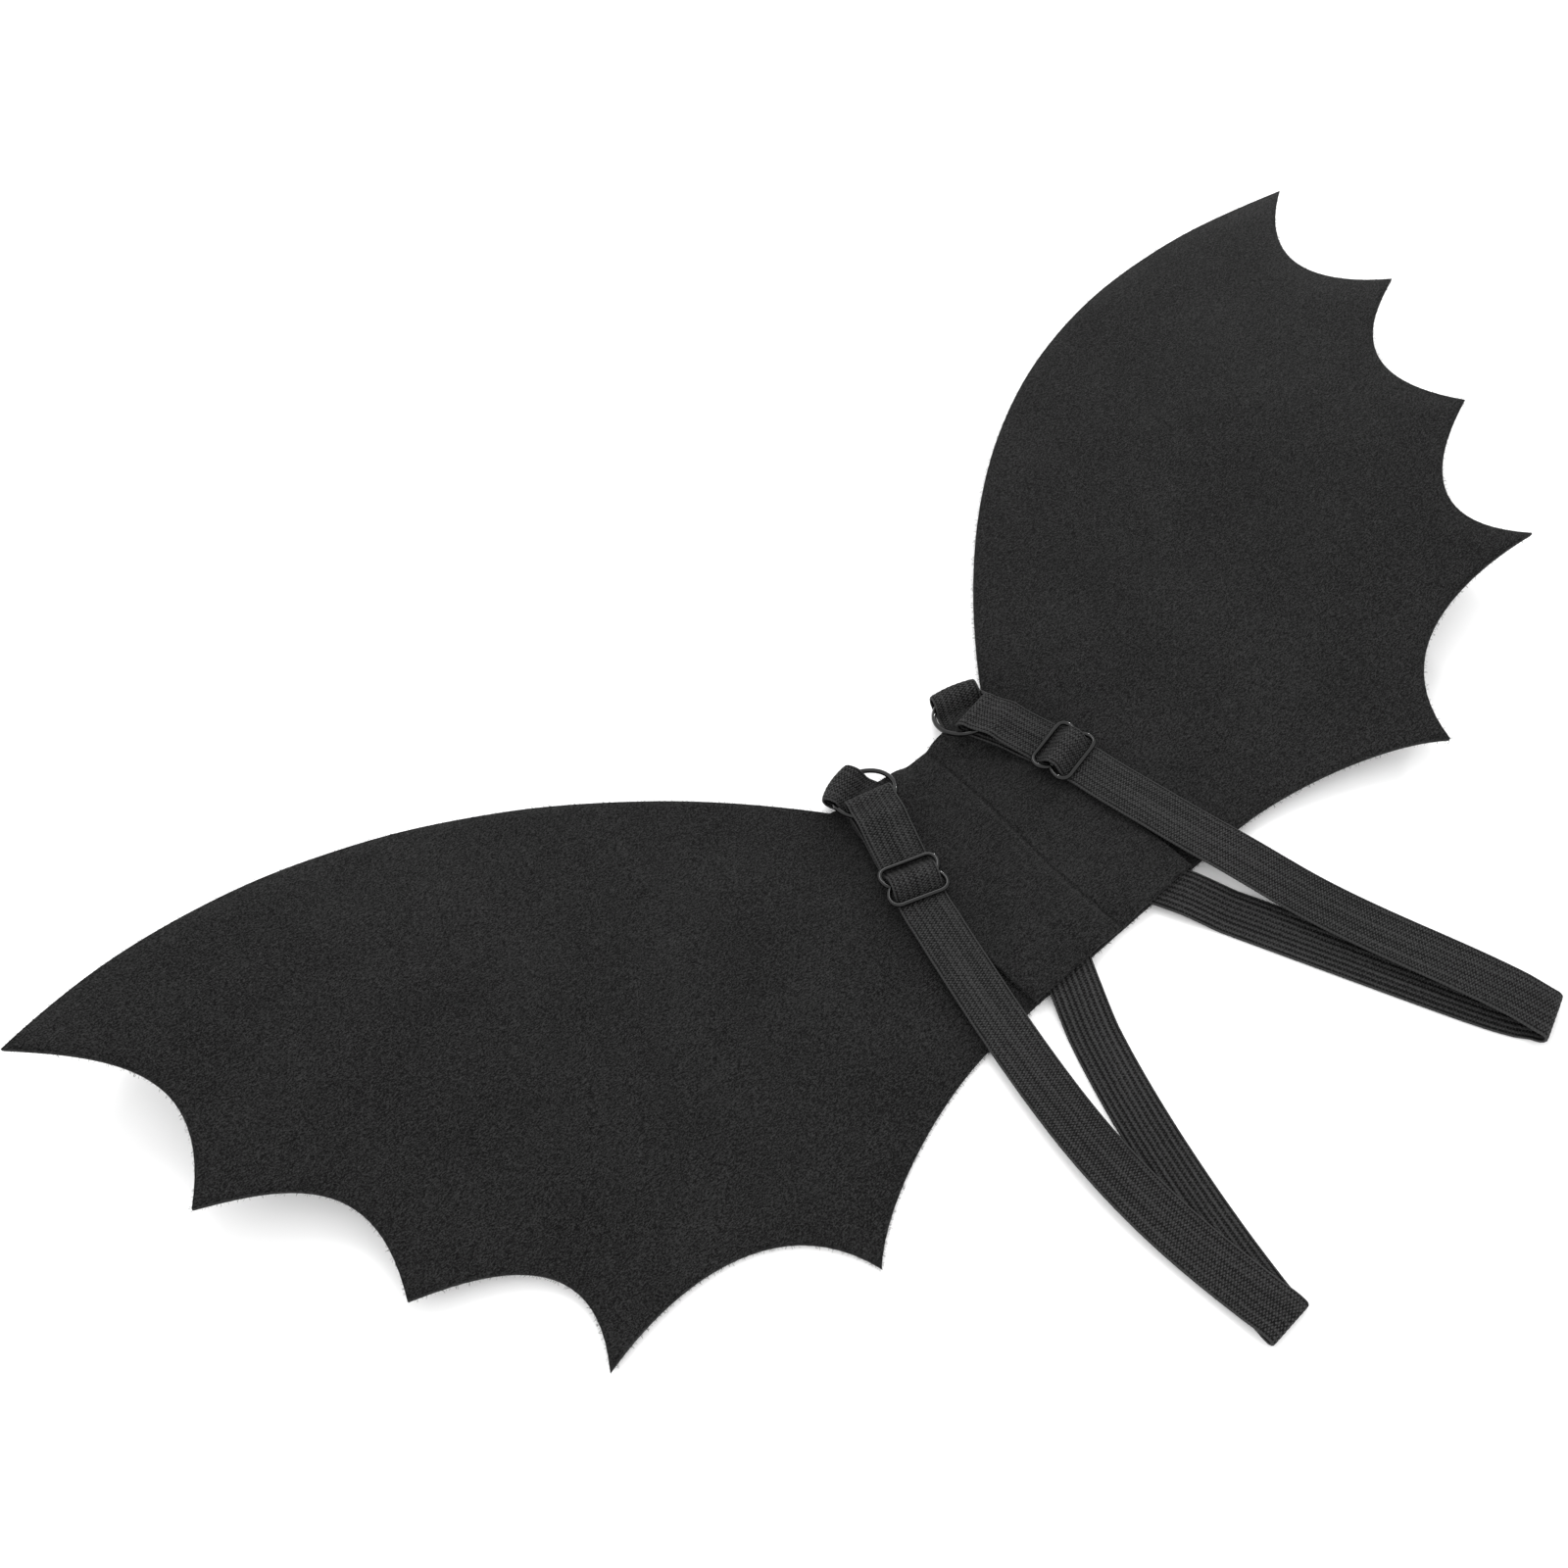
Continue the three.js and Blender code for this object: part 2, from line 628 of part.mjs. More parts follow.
// A slider seen from above: a wire loop with straight long sides, whose short sides are notched in to a
// middle bar
function sliderShape() {
  const x = sliderWidth / 2;
  const y = sliderHeight / 2;
  const corner = sliderCorner;
  const bend = corner * (1 - Math.SQRT1_2);
  const straightEnd = x - 1.5 * corner;
  const shortSide = [
    [straightEnd, -y],
    [x - corner, -y],
    [x - bend, -y + bend],
    [x, -y + corner],
    [x - sliderPinch / 2, -sliderNotch],
    [x - sliderPinch, 0],
    [x - sliderPinch / 2, sliderNotch],
    [x, y - corner],
    [x - bend, y - bend],
    [x - corner, y],
    [straightEnd, y],
  ];
  const half = [...shortSide, [0, y]];
  const turned = half.map(([u, v]) => [-u, -v]);
  const path = [...half, ...turned].map(([u, v]) => new THREE.Vector3(u, v, 0));
  const loop = new THREE.CatmullRomCurve3(path, true, 'centripetal');
  const sliderSteps = path.length * stepsPerBend;
  const points = [];
  const faces = [];
  for (let i = 0; i < sliderSteps; i++) {
    const middle = loop.getPoint(i / sliderSteps);
    const heading = loop.getTangent(i / sliderSteps);
    const beside = new THREE.Vector3(-heading.y, heading.x, 0);
    for (let j = 0; j < wireSides; j++) {
      const angle = (2 * Math.PI * j) / wireSides;
      const point = middle.clone().addScaledVector(beside, wireRadius * Math.cos(angle));
      point.z += wireRadius * Math.sin(angle);
      points.push(point);
    }
  }
  gridFaces(faces, sliderSteps, wireSides, true);
  const barLength = sliderWidth - 2 * sliderPinch;
  const bar = new THREE.CylinderGeometry(wireRadius * 0.95, wireRadius * 0.95, barLength, wireSides);
  bar.rotateZ(Math.PI / 2);
  return joined(closedMesh(points, faces), bar);
}

const felt = new THREE.MeshStandardMaterial({ color: 0x1e1e20, roughness: 0.97, metalness: 0 });
const elastic = new THREE.MeshStandardMaterial({ color: 0x26262a, roughness: 0.85, metalness: 0 });
const wire = new THREE.MeshStandardMaterial({ color: 0x141416, roughness: 0.35, metalness: 0.4 });

const batWings = new THREE.Group();

function addPiece(name, geometry, material) {
  const mesh = new THREE.Mesh(geometry, material);
  mesh.name = name;
  batWings.add(mesh);
  return mesh;
}

const inserts = [];
for (const side of ['left', 'right']) {
  const rear = rearLeg(side);
  inserts.push(insertOf(rear.getPoint(0), rear.getTangent(0).negate(), strapInsert, 1));

  const out = directionOf(sides[side].tabTurn);
  const edge = edgeAlongTab(side);
  const ring = ringMiddle(side);
  inserts.push(insertOf(ring.clone().addScaledVector(out, edge), out.clone().negate(), tabInsert, 2));

  addPiece(`strap_${side}`, elasticStrip(strapRoute(side), 1), elastic);
  addPiece(`ring_tab_${side}`, elasticStrip(tabStations(side, edge), 6), elastic);

  const hoop = new THREE.TorusGeometry(ringRadius, wireRadius, wireSides, ringSteps);
  const hung = addPiece(`ring_${side}`, hoop, wire);
  hung.position.set(ring.x, ring.y, ringHeight(side));
  hung.quaternion.setFromUnitVectors(new THREE.Vector3(0, 0, 1), ringNormal(side));

  const slider = addPiece(`slider_${side}`, sliderShape(), wire);
  const middle = sliderMiddle(side);
  slider.position.set(middle.x, middle.y, sliderZ);
  slider.rotation.z = THREE.MathUtils.degToRad(-sides[side].sliderTurn);
}
addPiece('wing_panel', wingPanel(), felt);
addPiece('back_patch', backPatch(inserts), felt);

export default batWings;
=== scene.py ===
import math

import bmesh
import bpy
import numpy as np
from mathutils import Matrix


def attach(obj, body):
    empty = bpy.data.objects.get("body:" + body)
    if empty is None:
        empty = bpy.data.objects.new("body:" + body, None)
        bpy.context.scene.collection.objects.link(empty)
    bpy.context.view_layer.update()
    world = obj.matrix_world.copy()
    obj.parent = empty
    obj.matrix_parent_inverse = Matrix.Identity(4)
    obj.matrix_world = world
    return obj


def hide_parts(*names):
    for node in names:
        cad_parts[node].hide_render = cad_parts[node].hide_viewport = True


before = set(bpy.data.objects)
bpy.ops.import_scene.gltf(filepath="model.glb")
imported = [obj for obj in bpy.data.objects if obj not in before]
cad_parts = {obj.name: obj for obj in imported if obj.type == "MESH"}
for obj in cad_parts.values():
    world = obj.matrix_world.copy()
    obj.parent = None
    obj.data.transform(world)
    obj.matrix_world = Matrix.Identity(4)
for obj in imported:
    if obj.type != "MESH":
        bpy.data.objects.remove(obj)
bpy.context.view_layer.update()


# The wing panel
# One sheet of black needle felt makes both wings and the back. Its ends are cut in scallops, and the
# soft wings curl a little off the floor. Nothing is hemmed, so fibres stand out of the cut edges.

WING_SPAN = 0.6954
WING_DEPTH = 0.270
FELT_THICKNESS = 0.0025
BACK_HEIGHT = 0.110
NECK_DIP = 0.0065
PATCH_WIDTH = 0.086
HALF_SPAN = WING_SPAN / 2
ROOT_X = PATCH_WIDTH / 2
NECK_Y = BACK_HEIGHT / 2
HEM_Y = -BACK_HEIGHT / 2
CUT_EDGE_ROUND = 0.0005
# The rounded cut edge from below upwards, in shares of its rounding and of the felt's thickness
CUT_EDGE_STEPS = ((0.3, 0.1), (0, 0.3), (0, 0.7), (0.3, 0.9))
# The points of a wing from the tip inwards, and the handles of the curves between them
WING_POINTS = [(1.0, 0.61), (0.938, 0.303), (0.826, 0.041), (0.716, -0.197), (0.4455, -0.331)]
SCALLOPS = [
    (0.34, -0.336, 0.673, -0.461),
    (0.34, -0.323, 0.655, -0.441),
    (0.301, -0.275, 0.732, -0.553),
    (0.263, -0.185, 0.717, -0.375),
    (0.266, -0.112, 0.742, -0.078),
]
LEADING_EDGE = (0.406, 0.273, 0.744, 0.211)
HEM_JOIN = (0.205, -0.0045)
WING_HUB = np.array([0.175 * HALF_SPAN, 0.093 * WING_DEPTH])
WING_LIFT = {
    "left": {"rise": -0.022, "curl": 0.105, "twist": -0.044, "twist_curl": 0.351, "cup": 0.065},
    "right": {"rise": 0.097, "curl": 0.052, "twist": -0.035, "twist_curl": -0.201, "cup": -0.03},
}
LIFT_AXIS_Y = 0.1015 * WING_DEPTH
# The slow waves: their height, where they start and are full, and the lengths and shift of each
WAVE_HEIGHT = 0.00012
WAVE_REACH = (0.01, 0.07)
WAVES = ((0.0097, 0.021, 0), (-0.031, 0.0113, 1.1))
SIGN = {"left": -1, "right": 1}


def smooth_step(value, low, high):
    share = np.clip((value - low) / (high - low), 0, 1)
    return share * share * (3 - 2 * share)


def chord_curve(start, end, handles, steps):
    """Points of a cubic curve whose handles lie along and beside its chord, in shares of its length."""
    start, end = np.array(start), np.array(end)
    chord = end - start
    beside = np.array([-chord[1], chord[0]])
    along1, beside1, along2, beside2 = handles
    first = start + chord * along1 + beside * beside1
    second = start + chord * along2 + beside * beside2
    t = np.linspace(0, 1, steps + 1)[:, None]
    return (1 - t) ** 3 * start + 3 * (1 - t) ** 2 * t * first + 3 * (1 - t) * t**2 * second + t**3 * end


def neck_at(x):
    return NECK_Y + NECK_DIP * (np.minimum(np.abs(x), ROOT_X) / ROOT_X) ** 2


def wing_lift(side, x, y):
    """Height of the felt's underside over the floor, x counted outwards."""
    shape = WING_LIFT[side]
    out = np.maximum(x - ROOT_X, 0) / HALF_SPAN
    across = (y - LIFT_AXIS_Y) / HALF_SPAN
    bend = shape["rise"] + shape["curl"] * out + shape["twist"] * across
    bend = bend + shape["twist_curl"] * out * across + shape["cup"] * across**2
    return np.maximum(0, HALF_SPAN * out * bend)


def wing_places(side, plan, height):
    """Places of the flat pattern on the lifted wing, with the slow waves of felt that was rolled up."""
    x, y = plan[:, 0], plan[:, 1]
    out = np.maximum(x - ROOT_X, 0)
    lift = wing_lift(side, x, y)
    waves = len(WAVES)
    for along, across, shift in WAVES:
        waves = waves + np.sin(x / along + y / across + shift)
    waves = waves * WAVE_HEIGHT * smooth_step(out, *WAVE_REACH)
    reach = np.minimum(x, ROOT_X) + np.sqrt(np.maximum(out**2 - np.minimum(lift, out) ** 2, 0))
    return np.c_[SIGN[side] * reach, y, lift + waves + height]


def wing_outline():
    """One half of the flat pattern, from the neck's middle round the wing to the lower edge's middle."""
    corners = [np.array([x * HALF_SPAN, y * WING_DEPTH]) for x, y in WING_POINTS]
    corners.append(np.array([HEM_JOIN[0] * HALF_SPAN, HEM_Y + HEM_JOIN[1] * WING_DEPTH]))
    neck_x = np.linspace(0, ROOT_X, 13)
    runs = [np.c_[neck_x, neck_at(neck_x)]]
    runs.append(chord_curve([ROOT_X, neck_at(ROOT_X)], corners[0], LEADING_EDGE, 64))
    for handles, start, end in zip(SCALLOPS, corners, corners[1:]):
        runs.append(chord_curve(start, end, handles, 24))
    runs.append(np.linspace(corners[-1], [ROOT_X, HEM_Y], 6))
    runs.append(np.linspace([ROOT_X, HEM_Y], [0, HEM_Y], 13))
    return np.vstack([runs[0]] + [run[1:] for run in runs[1:]])


def mesh_piece(name, points, faces, uvs=None, slots=None):
    """A mesh object with its doubles merged, its faces pointing out and smooth shading."""
    mesh = bpy.data.meshes.new(name)
    mesh.from_pydata(np.asarray(points).tolist(), [], [tuple(int(i) for i in face) for face in faces])
    if uvs is not None:
        layer = mesh.uv_layers.new(name="weave")
        corners = np.zeros(len(mesh.loops), np.int32)
        mesh.loops.foreach_get("vertex_index", corners)
        layer.data.foreach_set("uv", np.asarray(uvs)[corners].astype(np.float32).ravel())
    if slots is not None:
        mesh.polygons.foreach_set("material_index", np.asarray(slots, np.int32))
    shape = bmesh.new()
    shape.from_mesh(mesh)
    bmesh.ops.remove_doubles(shape, verts=shape.verts, dist=1e-6)
    loose = [v for v in shape.verts if not v.link_faces]
    bmesh.ops.delete(shape, geom=loose, context="VERTS")
    bmesh.ops.recalc_face_normals(shape, faces=shape.faces)
    shape.to_mesh(mesh)
    shape.free()
    mesh.polygons.foreach_set("use_smooth", [True] * len(mesh.polygons))
    piece = bpy.data.objects.new(name, mesh)
    bpy.context.scene.collection.objects.link(piece)
    return piece


def ring_faces(rows, columns, closed):
    """Quads between rows of points that all have the same number of points."""
    faces = []
    for i in range(rows - 1):
        for j in range(columns if closed else columns - 1):
            k = (j + 1) % columns
            faces.append((i * columns + j, i * columns + k, (i + 1) * columns + k, (i + 1) * columns + j))
    return faces


def wing_panel():
    rim = wing_outline()
    centre_line = np.linspace(rim[-1], rim[0], 19)[1:-1]
    outline = np.vstack([rim, centre_line])
    inward = WING_HUB - outline
    inward /= np.linalg.norm(inward, axis=1)[:, None]
    inward[0] = (0, -1)
    inward[len(rim) - 1] = (0, 1)
    inward[len(rim):] = 0
    inner = outline + inward * CUT_EDGE_ROUND
    shares = np.linspace(0, 1, 17)[1:]
    rows = [(WING_HUB + (inner - WING_HUB) * share, 0) for share in shares]
    for inset, height in CUT_EDGE_STEPS:
        rows.append((outline + inward * CUT_EDGE_ROUND * inset, height))
    rows += [(WING_HUB + (inner - WING_HUB) * share, 1) for share in shares[::-1]]
    count = len(outline)
    cut_rows = range(len(shares) - 1, len(shares) + len(CUT_EDGE_STEPS))
    points = []
    faces = []
    for side in ("left", "right"):
        start = len(points)
        for plan, height in rows:
            points.extend(wing_places(side, plan, height * FELT_THICKNESS))
        for face in ring_faces(len(rows), count, True):
            row, column = divmod(face[0], count)
            if row in cut_rows and column >= len(rim) - 1:
                continue
            faces.append([start + i for i in face])
        for row, height in ((0, 0), (len(rows) - 1, 1)):
            points.extend(wing_places(side, WING_HUB[None, :], height * FELT_THICKNESS))
            first = start + row * count
            for j in range(count):
                faces.append([len(points) - 1, first + j, first + (j + 1) % count])
    return mesh_piece("wing_felt", points, faces)


def linear(code):
    """An sRGB hex colour as linear values."""
    values = [int(code[i : i + 2], 16) / 255 for i in (1, 3, 5)]
    return [v / 12.92 if v <= 0.04045 else ((v + 0.055) / 1.055) ** 2.4 for v in values] + [1.0]


def add_node(tree, kind, settings=None, inputs=None):
    """Adds a node with its settings. Each input gets a value, or a link from another node's output: from
    the socket that is given, or from the first one where the node itself is given."""
    made = tree.nodes.new(kind)
    for name, value in (settings or {}).items():
        setattr(made, name, value)
    for name, value in (inputs or {}).items():
        if isinstance(value, bpy.types.Node):
            tree.links.new(value.outputs[0], made.inputs[name])
        elif isinstance(value, bpy.types.NodeSocket):
            tree.links.new(value, made.inputs[name])
        else:
            made.inputs[name].default_value = value
    return made


def new_material(name):
    material = bpy.data.materials.new(name)
    material.use_nodes = True
    material.node_tree.nodes.clear()
    return material


def finish_material(material, shader):
    add_node(material.node_tree, "ShaderNodeOutputMaterial", inputs={"Surface": shader})
    return material


# Needle felt is a mat of polyester fibres with no direction. It is matt, with a fine grey grain where
# fibres stand up. Real fibres are 0.02 mm thick; the strands are drawn 0.4 mm wide so that they show.
FELT_DARK = "#030303"
FELT_LIGHT = "#303030"
STRAND_WIDTH = 0.0004
STRAND_LENGTH = 0.0014
STRAND_TURNS = (0.55, -0.5, 1.6)
SPECK_SIZE = 0.0006
SPECK_SHARE = 0.6
CLOUD_SHARE = 0.1
# The sums of strands, specks and clouds at which the felt is darkest and lightest
FELT_TONES = (0.82, 1.15)


def needle_felt(name, paint_fold_shade_and_light=None):
    """Black felt. A function may be given that paints shade and light into the tone where the felt was
    folded once.
    """
    material = new_material(name)
    tree = material.node_tree
    place = add_node(tree, "ShaderNodeTexCoord").outputs["Object"]
    strands = []
    for turn in STRAND_TURNS:
        turned = add_node(
            tree,
            "ShaderNodeMapping",
            inputs={
                "Vector": place,
                "Rotation": (0, 0, turn),
                "Scale": (1 / STRAND_LENGTH, 1 / STRAND_WIDTH, 1 / STRAND_LENGTH),
            },
        )
        noise = {"Vector": turned, "Scale": 1.0, "Detail": 2.0, "Roughness": 0.6, "Distortion": 0.3}
        strands.append(add_node(tree, "ShaderNodeTexNoise", inputs=noise))
    mat = strands[0]
    for strand in strands[1:]:
        mat = add_node(tree, "ShaderNodeMath", {"operation": "MAXIMUM"}, {0: mat, 1: strand})
    speck = add_node(
        tree, "ShaderNodeTexNoise", inputs={"Vector": place, "Scale": 1 / SPECK_SIZE, "Detail": 1.0}
    )
    grain = add_node(
        tree, "ShaderNodeMath", {"operation": "MULTIPLY_ADD"}, {0: speck, 1: SPECK_SHARE, 2: mat}
    )
    cloud = add_node(tree, "ShaderNodeTexNoise", inputs={"Vector": place, "Scale": 24.0, "Detail": 2.0})
    tone = add_node(
        tree, "ShaderNodeMath", {"operation": "MULTIPLY_ADD"}, {0: cloud, 1: CLOUD_SHARE, 2: grain}
    )
    # Where given, the shade and light of a fold are painted into the tone
    if paint_fold_shade_and_light:
        tone = paint_fold_shade_and_light(tree, place, tone)
    darkest, lightest = FELT_TONES
    share = add_node(
        tree,
        "ShaderNodeMapRange",
        inputs={"Value": tone, "From Min": darkest, "From Max": lightest, "To Min": 0.0, "To Max": 1.0},
    )
    colour = add_node(
        tree,
        "ShaderNodeMix",
        {"data_type": "RGBA"},
        {"Factor": share, "A": linear(FELT_DARK), "B": linear(FELT_LIGHT)},
    )
    relief = add_node(
        tree,
        "ShaderNodeBump",
        inputs={"Strength": 0.5, "Distance": 0.0005, "Height": grain},
    )
    shader = add_node(
        tree,
        "ShaderNodeBsdfPrincipled",
        inputs={
            "Base Color": colour.outputs["Result"],
            "Roughness": 0.95,
            "Specular IOR Level": 0.1,
            "Sheen Weight": 0.03,
            "Sheen Roughness": 0.6,
            "Normal": relief,
        },
    )
    return finish_material(material, shader)


felt = needle_felt("black_needle_felt")


def felt_fibre():
    """A single fibre catches more light than the mat that it stands on."""
    material = new_material("loose_felt_fibre")
    shader = add_node(
        material.node_tree,
        "ShaderNodeBsdfPrincipled",
        inputs={"Base Color": linear("#303030"), "Roughness": 0.75, "Specular IOR Level": 0.25},
    )
    return finish_material(material, shader)


fibre = felt_fibre()


def fibre_tree():
    """Scatters curved fibres over the faces whose normals rise by between two values."""
    tree = bpy.data.node_groups.new("scattered_felt_fibres", "GeometryNodeTree")
    tree.interface.new_socket("Felt", in_out="INPUT", socket_type="NodeSocketGeometry")
    for name in ("Per square metre", "Length", "Thickness", "Lowest rise", "Highest rise", "Stand"):
        tree.interface.new_socket(name, in_out="INPUT", socket_type="NodeSocketFloat")
    tree.interface.new_socket("Seed", in_out="INPUT", socket_type="NodeSocketInt")
    tree.interface.new_socket("Material", in_out="INPUT", socket_type="NodeSocketMaterial")
    tree.interface.new_socket("Fibres", in_out="OUTPUT", socket_type="NodeSocketGeometry")
    given = add_node(tree, "NodeGroupInput").outputs
    normal = add_node(tree, "GeometryNodeInputNormal").outputs[0]
    rise = add_node(tree, "ShaderNodeSeparateXYZ", inputs={0: normal}).outputs["Z"]
    above = add_node(
        tree, "FunctionNodeCompare", {"operation": "GREATER_THAN"}, {0: rise, 1: given["Lowest rise"]}
    )
    below = add_node(
        tree, "FunctionNodeCompare", {"operation": "LESS_THAN"}, {0: rise, 1: given["Highest rise"]}
    )
    chosen = add_node(tree, "FunctionNodeBooleanMath", inputs={0: above, 1: below})
    roots = add_node(
        tree,
        "GeometryNodeDistributePointsOnFaces",
        {"distribute_method": "RANDOM"},
        {
            "Mesh": given["Felt"],
            "Selection": chosen,
            "Density": given["Per square metre"],
            "Seed": given["Seed"],
        },
    )
    half = add_node(tree, "ShaderNodeMath", {"operation": "MULTIPLY"}, {0: given["Length"], 1: 0.5})
    bend = add_node(tree, "ShaderNodeMath", {"operation": "MULTIPLY"}, {0: given["Length"], 1: 0.25})
    middle = add_node(tree, "ShaderNodeCombineXYZ", inputs={"X": half, "Y": bend})
    end = add_node(tree, "ShaderNodeCombineXYZ", inputs={"X": given["Length"], "Z": given["Thickness"]})
    line = add_node(
        tree,
        "GeometryNodeCurveQuadraticBezier",
        inputs={"Resolution": 3, "Start": (0, 0, 0), "Middle": middle, "End": end},
    )
    round_shape = add_node(
        tree, "GeometryNodeCurvePrimitiveCircle", inputs={"Resolution": 3, "Radius": given["Thickness"]}
    )
    body = add_node(
        tree,
        "GeometryNodeCurveToMesh",
        inputs={"Curve": line, "Profile Curve": round_shape, "Fill Caps": True},
    )
    lean = add_node(
        tree, "ShaderNodeMath", {"operation": "MULTIPLY"}, {0: given["Stand"], 1: -1.0}
    )
    low = add_node(tree, "ShaderNodeCombineXYZ", inputs={"Y": lean, "Z": 0.0})
    high = add_node(tree, "ShaderNodeCombineXYZ", inputs={"Y": 0.0, "Z": 2 * math.pi})
    turn = add_node(
        tree,
        "FunctionNodeRandomValue",
        {"data_type": "FLOAT_VECTOR"},
        {0: low, 1: high, "Seed": given["Seed"]},
    )
    turned = add_node(tree, "FunctionNodeEulerToRotation", inputs={0: turn})
    facing = add_node(
        tree,
        "FunctionNodeRotateRotation",
        {"rotation_space": "LOCAL"},
        {0: roots.outputs["Rotation"], 1: turned},
    )
    size = add_node(
        tree, "FunctionNodeRandomValue", {"data_type": "FLOAT"}, {2: 0.5, 3: 1.4, "Seed": 5}
    )
    placed = add_node(
        tree,
        "GeometryNodeInstanceOnPoints",
        inputs={
            "Points": roots.outputs["Points"],
            "Instance": body,
            "Rotation": facing,
            "Scale": size.outputs[1],
        },
    )
    real = add_node(tree, "GeometryNodeRealizeInstances", inputs={0: placed})
    finished = add_node(
        tree,
        "GeometryNodeSetMaterial",
        inputs={"Geometry": real, "Material": given["Material"]},
    )
    add_node(tree, "NodeGroupOutput", inputs={0: finished})
    return tree


felt_fibres = fibre_tree()


def fibres_on(name, source, values):
    """The fibres of a piece of felt as a plain mesh."""
    piece = bpy.data.objects.new(name, source.data.copy())
    bpy.context.scene.collection.objects.link(piece)
    modifier = piece.modifiers.new("fibres", "NODES")
    modifier.node_group = felt_fibres
    for item in felt_fibres.interface.items_tree:
        if item.name in values:
            modifier[item.identifier] = values[item.name]
    seen = bpy.context.evaluated_depsgraph_get()
    mesh = bpy.data.meshes.new_from_object(piece.evaluated_get(seen))
    piece.modifiers.remove(modifier)
    piece.data = mesh
    mesh.name = name
    return piece


SURFACE_FIBRES = {
    "Per square metre": 30000.0, "Length": 0.0022, "Thickness": 0.00008, "Lowest rise": 0.8,
    "Highest rise": 2.0, "Stand": 0.05, "Seed": 3, "Material": fibre,
}
EDGE_FIBRES = {
    "Per square metre": 900000.0, "Length": 0.0011, "Thickness": 0.00005, "Lowest rise": -0.6,
    "Highest rise": 0.6, "Stand": 1.3, "Seed": 8, "Material": fibre,
}

wing_felt = wing_panel()
wing_felt.data.materials.append(felt)
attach(wing_felt, "root")
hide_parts("wing_panel")
wing_fibres = [
    fibres_on("wing_surface_fibres", wing_felt, SURFACE_FIBRES),
    fibres_on("wing_edge_fibres", wing_felt, EDGE_FIBRES),
]
for piece in wing_fibres:
    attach(piece, "root")


# The wire rings and sliders
# Each shoulder strap has a round ring at the neck and a slider that sets its length, both bent from
# 2 mm steel wire and coated black. The slider's short sides are pinched in to its middle bar.

WIRE_RADIUS = 0.001
RING_RADIUS = 0.0128
RING_TILT = math.radians(17)
RING_LEAN = 0.4
SLIDER_WIDTH = 0.024
SLIDER_HEIGHT = 0.017
SLIDER_CORNER = 0.0036
SLIDER_PINCH = 0.0024
SLIDER_NOTCH = 0.0015
SLIDER_BAR_RADIUS = 0.95 * WIRE_RADIUS
SLIDER_DROP = 0.0438
ELASTIC_WIDTH = 0.020
ELASTIC_THICKNESS = 0.0014
PATCH_THICKNESS = 0.002
SEW_GAP = 0.0003
PATCH_TOP = FELT_THICKNESS + SEW_GAP + PATCH_THICKNESS
FIRST_LAYER = FELT_THICKNESS + SEW_GAP + ELASTIC_THICKNESS / 2
LAYER_STEP = ELASTIC_THICKNESS + SEW_GAP
WIRE_PASS = WIRE_RADIUS + SEW_GAP + ELASTIC_THICKNESS / 2
WIRE_FOLD = WIRE_PASS + 3 * SEW_GAP
STRAP_OVER_PATCH = PATCH_TOP + SEW_GAP + ELASTIC_THICKNESS / 2
SLIDER_Z = STRAP_OVER_PATCH + WIRE_PASS + LAYER_STEP
RING_CHORD = math.sqrt(RING_RADIUS**2 - (ELASTIC_WIDTH / 2) ** 2)
SIDES = {
    "left": {
        "ring": (-0.342, 0.0564), "strap_turn": 16.7, "slider_turn": 20, "tab_turn": -22,
        "hem_x": -0.285, "loop": (-0.464, 1.01), "loop_open": 0.5,
        "front": (0.581, -0.086, 0.661, -0.075), "rear": (0.322, -0.071, 0.9, -0.026),
    },
    "right": {
        "ring": (0.316, 0.0527), "strap_turn": -21.7, "slider_turn": -11.5, "tab_turn": 21,
        "hem_x": 0.36, "loop": (0.652, 0.936), "loop_open": 1,
        "front": (0.6, -0.052, 0.85, 0.019), "rear": (0.95, -0.018, 0.873, -0.021),
    },
}


def turn_direction(degrees):
    """A level direction, turned from +Y towards +X."""
    return np.array([math.sin(math.radians(degrees)), math.cos(math.radians(degrees))])


def ring_middle(side):
    x, y = SIDES[side]["ring"]
    return np.array([x * PATCH_WIDTH, neck_at(ROOT_X) - y * BACK_HEIGHT])


def slider_middle(side):
    return ring_middle(side) - turn_direction(SIDES[side]["strap_turn"]) * SLIDER_DROP


def ring_normal(side):
    """A ring's plane slopes down towards its tab and up towards the strap, more in line with the strap."""
    strap, tab = SIDES[side]["slider_turn"], SIDES[side]["tab_turn"]
    low = turn_direction(strap + (tab - strap) * RING_LEAN)
    return np.array([*(low * math.sin(RING_TILT)), math.cos(RING_TILT)])


def in_ring_plane(side, heading):
    normal = ring_normal(side)
    way = np.array([*heading, -(normal[:2] @ heading) / normal[2]])
    return way / np.linalg.norm(way)


def across_in_ring(side, heading):
    return np.cross(ring_normal(side), in_ring_plane(side, heading))


def ring_height(side):
    out = turn_direction(SIDES[side]["tab_turn"])
    return FIRST_LAYER + WIRE_FOLD - RING_RADIUS * in_ring_plane(side, out)[2]


